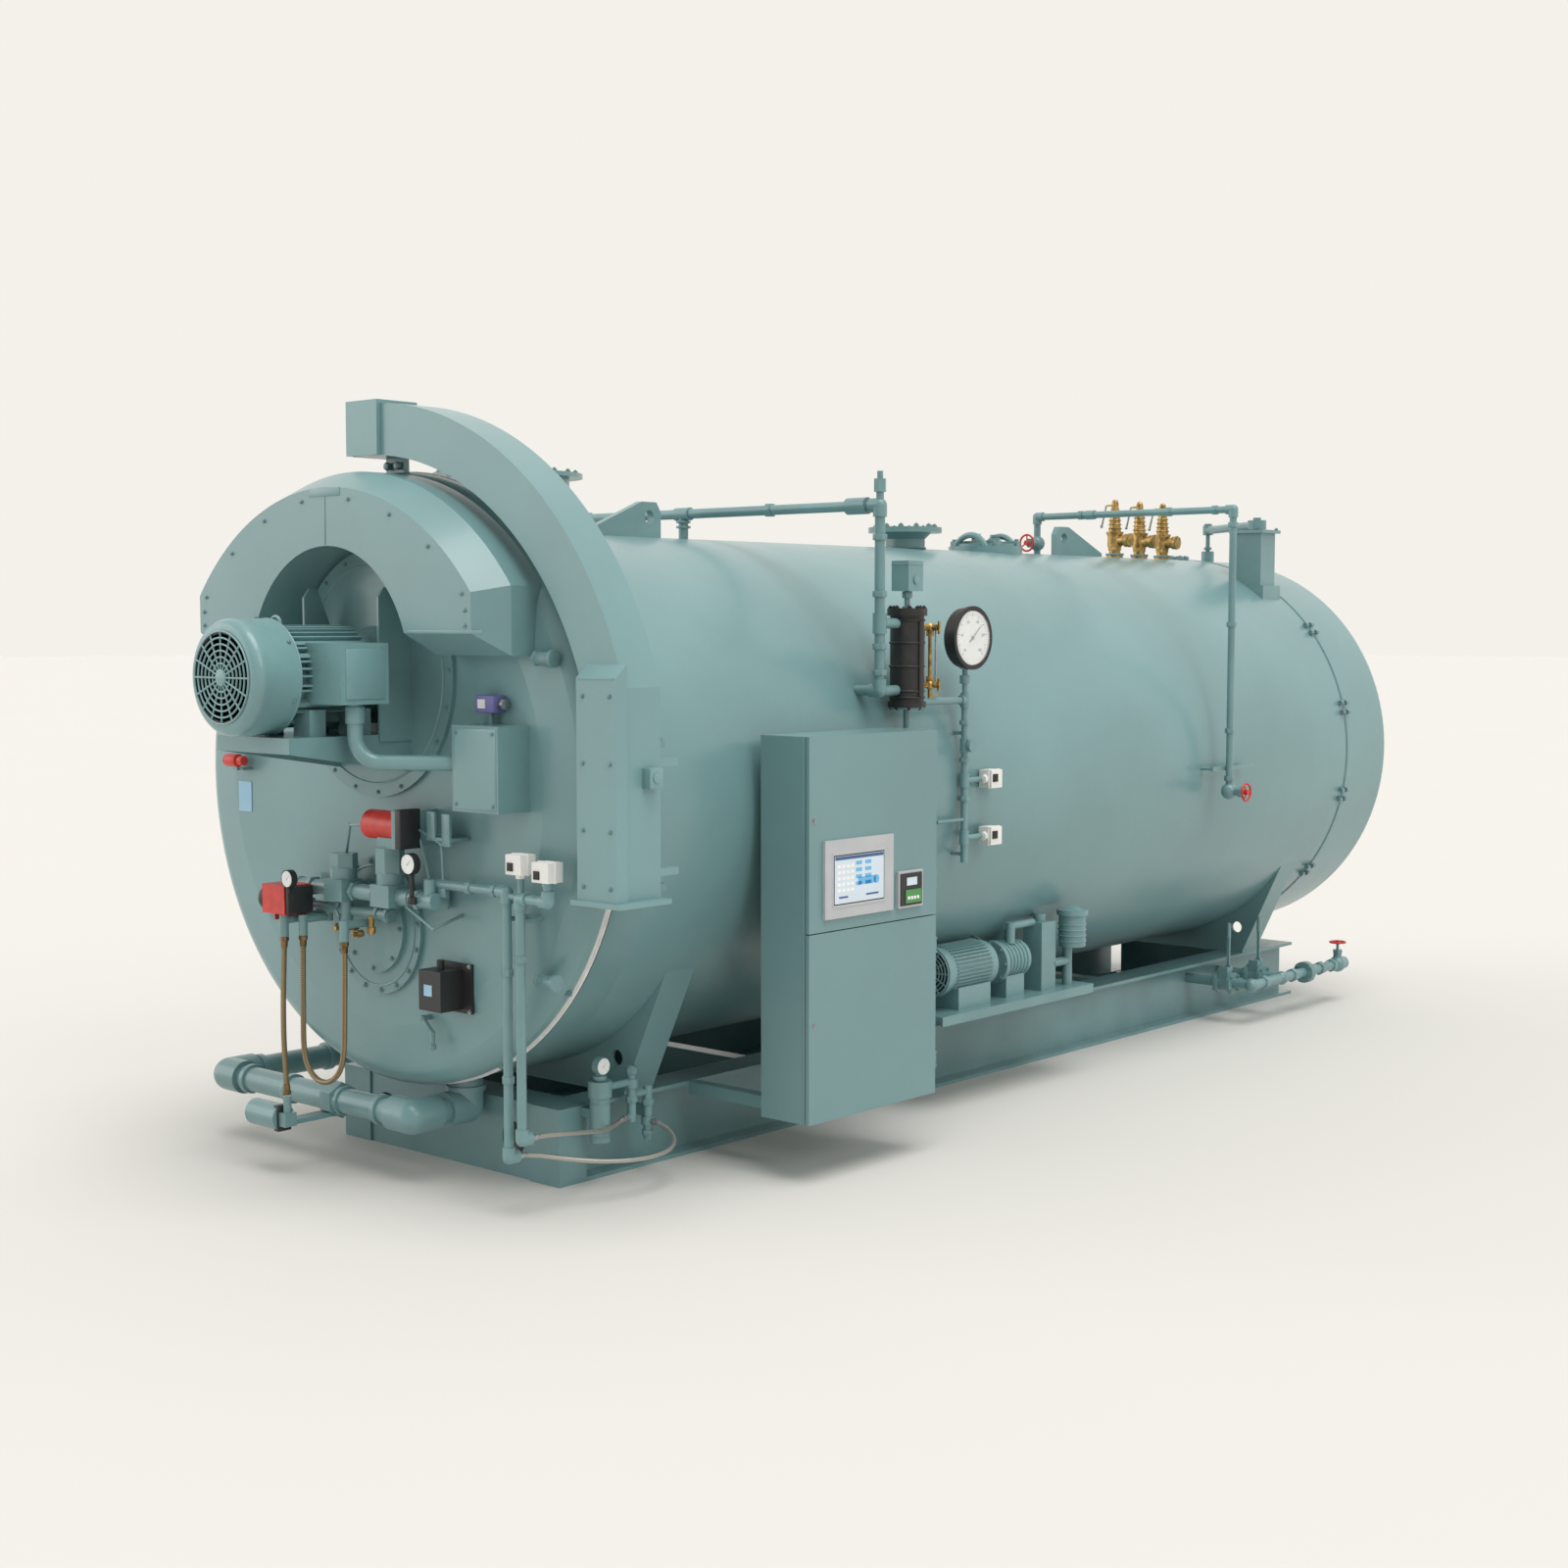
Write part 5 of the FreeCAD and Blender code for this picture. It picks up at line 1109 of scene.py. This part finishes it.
class BOILER_OT_cabinet(BoilerStep, bpy.types.Operator):
    """Screen, controller, locks and seams of the control cabinet"""

    bl_idname = "boiler.cabinet"
    bl_label = "Control cabinet"

    def build(self, looks):
        body = "upper_panel"
        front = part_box("operator_screen")[1].x
        face = front - 0.002
        panel(
            "screen_frame", (face - 0.004, 0.745, 1.195), (face + 0.003, 1.115, 1.435), RIGHT,
            0.012, -0.003, "grey", body, 0.002)
        panel(
            "screen_glass", (face, 0.762, 1.212), (face + 0.0015, 1.098, 1.418), RIGHT, 0.003,
            0.0003, "screen", body, slot="screen_glass")
        x0, x1 = face + 0.0012, face + 0.0028
        dark = planks(
            ((x0, 0.765, 1.402), (x1, 1.095, 1.416)), ((x0, 0.79, 1.235), (x1, 0.85, 1.243)),
            ((x0, 0.975, 1.235), (x1, 1.06, 1.243)))
        fit("screen_bars", dark, "screen_dark", body)
        blue = []
        for row in range(4):
            z = 1.374 - 0.03 * row
            blue.append(plank((x0, 0.905, z), (x1, 0.945, z + 0.016)))
            blue.append(plank((x0, 0.968, z), (x1, 1.01, z + 0.016)))
        blue.append(plank((x0, 0.92, 1.285), (x1, 1.04, 1.318)))
        blue.append(barrel((x0, 1.046, 1.301), RIGHT, 0.0016, 0.019, 24))
        fit("screen_tiles", blue, "screen_blue", body)
        pale = [
            plank((x0, 0.78 + 0.03 * k, 1.262 + 0.026 * j),
            (x1, 0.8 + 0.03 * k, 1.276 + 0.026 * j)) for k in range(4) for j in range(5)]
        fit("screen_fields", pale, "dial", body)
        panel(
            "controller_face", (face + 0.001, 1.215, 1.16), (face + 0.006, 1.37, 1.305), RIGHT,
            0.01, -0.001, "black", body, 0.001)
        panel(
            "controller_base", (face + 0.0055, 1.25, 1.17), (face + 0.0085, 1.362, 1.23), RIGHT,
            0.004, -0.0006, "green", body, 0.0008)
        panel(
            "controller_window", (face + 0.0055, 1.258, 1.25), (face + 0.0085, 1.33, 1.285),
            RIGHT, 0.003, -0.0006, "screen", body)
        keys = [
            plank((face + 0.008, 1.262 + 0.022 * k, 1.186),
            (face + 0.0105, 1.277 + 0.022 * k, 1.2)) for k in range(4)]
        fit("controller_keys", keys, "dial", body, 0.0005)
        self.door_trim("upper_panel", "cabinet_upper_door", (1.58,))
        self.door_trim("lower_panel", "cabinet_lower_door", (0.7,))
        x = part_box("cabinet_upper_door")[0].x - 0.004
        seams = [plank((x - 0.01, 0.6085, 0.275), (x - 0.004, 0.6115, 1.935))]
        fit("cabinet_edge_fold", seams, "cabinet", "boiler", 0.001)

    def door_trim(self, body, node, heights):
        """A folded rim round a door and its quarter-turn locks."""
        low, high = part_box(node)
        face = low.x + 0.018
        y0, y1 = 0.61, 1.5
        rim = 0.01
        edges = planks(
            ((face - 0.002, y0 + 0.001, low.z + 0.001),
            (face + 0.0016, y1 - 0.001, low.z + rim)),
            ((face - 0.002, y0 + 0.001, high.z - rim),
            (face + 0.0016, y1 - 0.001, high.z - 0.001)),
            ((face - 0.002, y0 + 0.001, low.z + rim), (face + 0.0016, y0 + rim, high.z - rim)),
            ((face - 0.002, y1 - rim, low.z + rim), (face + 0.0016, y1 - 0.001, high.z - rim)))
        fit(node + "_rim", edges, "cabinet", body, 0.0012)
        locks = []
        for z in heights:
            lock = barrel((face, y0 + 0.035, z), RIGHT, 0.006, 0.013, 28)
            locks.append(push_faces(lock, RIGHT, 0.003, -0.002))
            locks.append(
                plank((face + 0.002, y0 + 0.033, z - 0.008),
                (face + 0.006, y0 + 0.037, z + 0.008)))
        fit(node + "_lock", locks, "steel", body, 0.0006)


class BOILER_OT_crown_gear(BoilerStep, bpy.types.Operator):
    """Bolts, levers and nuts of the flanges and valves along the crown"""

    bl_idname = "boiler.crown_gear"
    bl_label = "Crown gear"

    def build(self, looks):
        flue_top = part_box("flue_outlet")[1].z
        steam_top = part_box("steam_nozzle")[1].z
        bolt_ring(
            "flue_flange_bolts", [((0, 0.3, flue_top), UP, 0.312, 20)], looks.bolt * 0.8,
            "boiler")
        bolt_ring(
            "steam_flange_bolts", [((*STEAM_NECK, steam_top), UP, 0.165, 12)], looks.bolt,
            "boiler")
        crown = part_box("boiler_shell")[1].z
        brass, dark = [], []
        for y in RELIEF_VALVES:
            for k in range(4):
                brass.append(
                    hoop((0, y, crown + 0.182 + 0.026 * k), UP, 0.04 - 0.002 * k, 0.004, 28))
            brass.append(barrel((0, y, crown + 0.15), UP, 0.012, 0.056, 8))
            brass.append(barrel((0.1, y, crown + 0.106), RIGHT, 0.016, 0.044, 8))
            brass.append(barrel((0, y, crown + 0.292), UP, 0.018, 0.027, 6))
            dark.append(barrel((-0.066, y, crown + 0.33), (-0.25, 0, -1), 0.13, 0.006, 12))
            dark.append(barrel((0, y - 0.016, crown + 0.328), BACK, 0.032, 0.007, 12))
            dark.append(bead((-0.1, y, crown + 0.198), 0.01, 14))
        fit("relief_valve_ribs", brass, "brass", "boiler", 0.0008)
        fit("relief_valve_levers", dark, "steel", "boiler", 0.0006)
        collars = [barrel((0, y, crown + 0.012), UP, 0.014, 0.058, 32) for y in RELIEF_VALVES]
        fit("relief_valve_collars", collars, "trim", "boiler", 0.003)
        nuts = [barrel((0, y, crown + 0.085), UP, 0.018, 0.03, 6) for y in MANWAY_STUDS]
        for y in MANWAY_STUDS:
            for x in (-0.155, 0.155):
                nuts.append(barrel((x, y, crown + 0.058), UP, 0.016, 0.013, 12))
        fit("manway_nuts", nuts, "bolt", "boiler", 0.001)
        yokes = [hoop((0, y, crown - 0.02), BACK, 0.115, 0.018, 48) for y in (3.845, 4.135)]
        fit("manway_yokes", yokes, "trim", "boiler")
        welds = [hoop((*STEAM_NECK, crown + 0.003), UP, 0.113, 0.006, 48)]
        fit("nozzle_weld", welds, "vessel", "boiler")
        flats = [
            barrel((x, EQUALIZER_PLACE, 2.96), RIGHT, 0.03, 0.035, 6)
            for x in (-0.7, 0.56, 1.12)]
        flats += [
            barrel((1.25, EQUALIZER_PLACE, z), UP, 0.028, 0.034, 6)
            for z in (2.3, 2.54, 2.8, 2.18)]
        flats += [barrel((0, EQUALIZER_PLACE, z), UP, 0.012, 0.036, 8) for z in (2.89, 2.915)]
        flats += [
            barrel((x, VENT_PLACE, 3.06), RIGHT, 0.028, 0.029, 6) for x in (0.3, 0.9, 1.2)]
        flats += [
            barrel((1.33, VENT_PLACE, z), UP, 0.028, 0.029, 6) for z in (1.8, 2.4, 1.53, 2.96)]
        flats += [
            barrel((1.25, 2.11, z), UP, 0.022, 0.026, 6) for z in (1.56, 1.75, 1.93, 2.2, 2.24)]
        fit("steam_pipe_unions", flats, "trim", "boiler", 0.0012)


class BOILER_OT_rear_head(BoilerStep, bpy.types.Operator):
    """Seam studs, lugs and ring of the rear head"""

    bl_idname = "boiler.rear_head"
    bl_label = "Rear head"

    def build(self, looks):
        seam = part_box("rear_door")[0].y
        centre = Vector((0, seam, SHELL_AXIS))
        lugs, studs, keepers = [], [], []
        for k in range(14):
            spoke = spoke_at(math.radians(13 + 360 / 14 * k))
            if (centre + spoke * 1.25).z < 0.43:
                continue
            across = spoke.cross(BACK)
            for side in (-1, 1):
                base = centre + spoke * 1.233 + across * side * 0.03
                lugs.append(barrel(base + BACK * 0.012, BACK, 0.03, 0.016, 6))
                studs.append(barrel(base + BACK * 0.038, BACK, 0.022, 0.007, 10))
                keepers.append(barrel(base - BACK * 0.022, FRONT, 0.03, 0.016, 6))
        fit("rear_head_studs", lugs + studs, "bolt", "rear_head")
        fit("rear_seam_keepers", keepers, "bolt", "boiler")
        band = [hoop((0, seam + 0.014, SHELL_AXIS), BACK, 1.217, 0.006, 128)]
        fit("rear_head_bead", band, "vessel", "rear_head")
        low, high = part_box("rear_davit_arm")
        caps = bars(
            ((0, 6.53, high.z - 0.01), UP, 0.022, 0.026, 6),
            ((0, 6.53, low.z + 0.055), UP, 0.018, 0.026, 6))
        fit("hanger_nuts", caps, "bolt", "rear_arm", 0.001)
        bolts = [(Vector((x, y, 3.01)), UP) for x in (0.535, 0.735) for y in (5.925, 6.115)]
        screws("davit_cap_bolts", looks.bolt * 0.8, bolts, "boiler")


class BOILER_OT_low_gear(BoilerStep, bpy.types.Operator):
    """Flange bolts, unions and small dials near the floor"""

    bl_idname = "boiler.low_gear"
    bl_label = "Low pipework"

    def build(self, looks):
        bolt_ring(
            "supply_flange_bolts", [((-1.12, 0.252, 0.3), BACK, 0.092, 8)], looks.bolt * 0.8,
            "boiler")
        rings = []
        for y in (5.23, 5.6):
            rings.append(((0.87, y, BLOWDOWN_LINE), LEFT, 0.056, 4, 0.78))
            rings.append(((0.982, y, BLOWDOWN_LINE), RIGHT, 0.056, 4, 0.78))
        rings.append(((1.1, 5.88, BLOWDOWN_LINE), FRONT, 0.056, 4, 0.78))
        rings.append(((1.1, 5.924, BLOWDOWN_LINE), BACK, 0.056, 4, 0.78))
        bolt_ring("blowdown_bolts", rings, 0.01, "boiler")
        flats = [
            barrel((1.1, y, BLOWDOWN_LINE), BACK, 0.04, 0.043, 6)
            for y in (5.36, 5.72, 6.08, 6.24)]
        flats += [barrel((x, -0.48, 0.3), RIGHT, 0.03, 0.068, 28) for x in (-0.96, -0.64, 0.01)]
        flats += [barrel((-1.12, y, 0.3), BACK, 0.03, 0.068, 28) for y in (-0.33, 0.06)]
        fit("low_pipe_unions", flats, "trim", "boiler", 0.002)
        gauge("regulator_gauge", (0.8545, 0.06, 0.52), RIGHT, UP, 0.036, "boiler", False)
        bands = [hoop((*REGULATOR, z), UP, 0.0445, 0.003, 32) for z in (0.215, 0.25, 0.36)]
        bands += bars(
            ((*REGULATOR, 0.182), UP, 0.012, 0.024, 6),
            ((*REGULATOR, 0.458), UP, 0.02, 0.03, 24),
            ((*AIR_STACK, 0.455), UP, 0.028, 0.027, 6),
            ((*AIR_STACK, 0.33), UP, 0.028, 0.027, 6), ((*FAR_STACK, 0.3), UP, 0.028, 0.027, 6),
            ((*FAR_STACK, 0.168), UP, 0.022, 0.027, 6))
        fit("regulator_bands", bands, "trim", "boiler", 0.001)
        self.compressor(looks)
        places = [(Vector((0.744 + 0.001, y, 0.3)), RIGHT) for y in (0.73, 1.38)]
        screws("cabinet_arm_bolts", looks.bolt * 0.8, places, "boiler")

    def compressor(self, looks):
        """Guard wires, ribs and bolts of the air compressor."""
        centre = Vector((0.98, 2.193, 0.68))
        wires = [
            hoop(centre + BACK * -0.002, BACK, 0.024 + 0.019 * k, 0.0035, 40) for k in range(6)]
        for k in range(6):
            line = spoke_at(math.pi * k / 6)
            wires.append(barrel(centre - line * 0.122 + BACK * -0.002, line, 0.244, 0.0035, 8))
        fit("compressor_guard", wires, "motor", "boiler")
        # Painted shade: a black disc behind the guard wires stands for the shadowed inside of
        # the compressor's fan opening.
        mouth = barrel((0.98, 2.194, 0.68), BACK, 0.003, 0.112, 40)
        push_faces(mouth, FRONT, 0.006, -0.0006)
        fit("compressor_mouth_painted_shade", [mouth], "black", "boiler")
        ribs = []
        for k in range(30):
            spoke = spoke_at(math.radians(-40 + 260 * k / 29))
            rib = plank((-0.0022, -0.15, -0.004), (0.0022, 0.15, 0.012))
            place = Vector((0.98, 2.42, 0.68)) + spoke * 0.117
            ribs.append(stand(rib, place, BACK.cross(spoke), BACK, spoke))
        fit("compressor_ribs", ribs, "motor", "boiler")
        rings = [
            hoop((0.98, y, 0.67), BACK, 0.1, 0.005, 48)
            for y in (2.76, 2.79, 2.82, 2.85, 2.88, 2.91)]
        rings += [hoop((1.09, 3.3, z), UP, 0.073, 0.004, 40) for z in (0.73, 0.76, 0.79, 0.82)]
        rings.append(barrel((1.09, 3.3, 0.896), UP, 0.018, 0.06, 36, 0.02))
        fit("pump_ribs", rings, "motor", "boiler")
        bolt_ring(
            "pump_bolts", [((0.98, 2.705, 0.67), FRONT, 0.1, 8),
            ((0.98, 2.94, 0.67), BACK, 0.078, 6)], 0.009, "boiler")
        loop = [hoop((0.9, 2.64, 0.69), BACK, 0.12, 0.006, 48)]
        fit("coupling_guard_wire", loop, "steel", "boiler")


class BOILER_OT_tube_ends(BoilerStep, bpy.types.Operator):
    """Rolled tube ends that show when the burner head is open"""

    bl_idname = "boiler.tube_ends"
    bl_label = "Tube ends"

    def build(self, looks):
        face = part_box("front_tube_sheet")[0].y
        step = looks.tube * 2.75
        places = []
        for row in range(-14, 15):
            for column in range(-14, 15):
                x = (column + (row % 2) * 0.5) * step
                z = SHELL_AXIS + row * step * 0.866
                inside = math.hypot(x, z - SHELL_AXIS) < 1.09
                beside = math.hypot(x, z - BURNER_AXIS) > 0.5
                if inside and beside and 0.72 < z < 2.16:
                    places.append((Vector((x, face, z)), FRONT))
        pattern = barrel((0, 0, 0), UP, 0.006, looks.tube, 14)
        push_faces(pattern, UP, 0.006, 0)
        push_faces(pattern, UP, 0.001, -0.005, 0.99)
        fit("tube_ends", repeat(pattern, places), "tube_steel", "boiler", slot="vessel_paint")


class BOILER_OT_davit_trim(BoilerStep, bpy.types.Operator):
    """Nuts, pins and stiffeners of the front davit"""

    bl_idname = "boiler.davit_trim"
    bl_label = "Front davit trim"

    def build(self, looks):
        bolts = []
        for z in (1.4, 1.62, 1.88, 2.14):
            for x in (1.395, 1.545):
                bolts.append((Vector((x, -0.56, z)), FRONT))
        screws("hinge_cover_screws", looks.bolt * 0.55, bolts, HEAD)
        weld = planks(
            ((1.372, -0.5625, 2.204), (1.568, -0.5575, 2.212)),
            ((1.358, -0.5035, 1.345), (1.366, -0.4965, 2.21)))
        fit("hinge_cover_edges", weld, "head", HEAD, 0.001, slot="vessel_paint")
        lugs = [
            plank((1.556, -0.4, 1.78), (1.604, -0.33, 1.86)),
            barrel((1.604, -0.365, 1.82), RIGHT, 0.006, 0.02, 24)]
        fit("davit_stop_lug", lugs, "head", HEAD, 0.002, slot="vessel_paint")
        caps = [barrel((1.46, -0.24, 1.962), UP, 0.014, 0.04, 6)]
        fit("hinge_pin_cap", caps, "bolt", "boiler", 0.001)
        nuts = [barrel((x, -0.35, 3.098), FRONT, 0.018, 0.018, 6) for x in (-0.035, 0.035)]
        fit("hanger_plate_nuts", nuts, "bolt", HEAD, 0.001)


class BOILER_OT_stage(BoilerStep, bpy.types.Operator):
    """Pale floor, soft lamps and the camera"""

    bl_idname = "boiler.stage"
    bl_label = "Stage"

    def build(self, looks):
        deselect()
        bpy.ops.mesh.primitive_circle_add(
            vertices=96, radius=160, fill_type="NGON", location=(0, 3, 0))
        floor = bpy.context.object
        floor.name = "floor"
        ground = Shader("floor_paper")
        cloud = ground.noise(2.5, 2.0)
        tone = ground.blend(cloud.clip(0.2, 0.8), (0.632, 0.624, 0.606), (0.64, 0.632, 0.614))
        ground.set(Base_Color=tone, Roughness=cloud * 0.05 + 0.9)
        ground.set(Specular_IOR_Level=0.1)
        floor.data.materials.append(ground.material)
        scene = bpy.context.scene
        scene.view_settings.view_transform = "Standard"
        self.sky(scene)
        self.lamp("overhead", (1.8, -0.5, 6.0), 40, 1.85)
        self.lamp("left_front", (-7.0, -5.6, 2.4), 50, 0.8)
        self.lamp("right_flank", (8.0, -1.0, 5.0), 30, 0.55)
        self.camera(scene, scene.boiler_view)

    def sky(self, scene):
        """Paper-white surroundings, dimmer on the side that the camera stands on."""
        world = bpy.data.worlds.new("studio")
        world.use_nodes = True
        scene.world = world
        studio = Nodes(world.node_tree)
        toward = studio.node("ShaderNodeTexCoord", output=0)
        facing_back = studio.node(
            "ShaderNodeVectorMath", {"operation": "DOT_PRODUCT"}, [toward, (-0.66, 0.75, 0.0)],
            output=1)
        glow = facing_back.clip(-0.45, 0.35) * 0.36 + 0.64
        backdrop = world.node_tree.nodes["Background"]
        backdrop.inputs["Color"].default_value = (0.905, 0.88, 0.832, 1.0)
        studio.feed(backdrop.inputs["Strength"], glow)

    def lamp(self, name, place, softness, power):
        deselect()
        bpy.ops.object.light_add(type="SUN", location=place)
        lamp = bpy.context.object
        lamp.name = name
        lamp.data.angle = math.radians(softness)
        lamp.data.energy = power
        lamp.data.color = (1.0, 0.985, 0.96)
        lamp.rotation_mode = "QUATERNION"
        lamp.rotation_quaternion = (-Vector(place)).to_track_quat("-Z", "Y")

    def camera(self, scene, view):
        deselect()
        bpy.ops.object.camera_add(
            location=view.place, rotation=(math.pi / 2 - view.dip, 0, view.turn))
        camera = bpy.context.object
        camera.data.lens = view.lens
        camera.data.sensor_width = 36
        camera.data.clip_end = 500
        scene.camera = camera


STEPS = (
    BOILER_OT_finishes, BOILER_OT_hoses, BOILER_OT_blower, BOILER_OT_head_trim,
    BOILER_OT_gas_train, BOILER_OT_pressure_gauge, BOILER_OT_water_column, BOILER_OT_cabinet,
    BOILER_OT_crown_gear, BOILER_OT_rear_head, BOILER_OT_low_gear, BOILER_OT_tube_ends,
    BOILER_OT_davit_trim, BOILER_OT_stage)


class BOILER_PT_panel(bpy.types.Panel):
    """Sizes, colours and steps of the boiler"""

    bl_idname = "BOILER_PT_panel"
    bl_label = "Industrial boiler"
    bl_space_type = "VIEW_3D"
    bl_region_type = "UI"
    bl_category = "Boiler"

    def draw(self, context):
        for group in (context.scene.boiler_looks, context.scene.boiler_view):
            for name in group.bl_rna.properties.keys():
                if name not in ("rna_type", "name"):
                    self.layout.prop(group, name)
        for step in STEPS:
            self.layout.operator(step.bl_idname)


CLASSES = (BoilerLooks, BoilerView, *STEPS, BOILER_PT_panel)


def register():
    for made in CLASSES:
        bpy.utils.register_class(made)
    bpy.types.Scene.boiler_looks = bpy.props.PointerProperty(type=BoilerLooks)
    bpy.types.Scene.boiler_view = bpy.props.PointerProperty(type=BoilerView)


def unregister():
    del bpy.types.Scene.boiler_view
    del bpy.types.Scene.boiler_looks
    for made in reversed(CLASSES):
        bpy.utils.unregister_class(made)


def main():
    register()
    for step in STEPS:
        area, name = step.bl_idname.split(".")
        getattr(getattr(bpy.ops, area), name)()
    deselect()


if __name__ == "__main__":
    main()
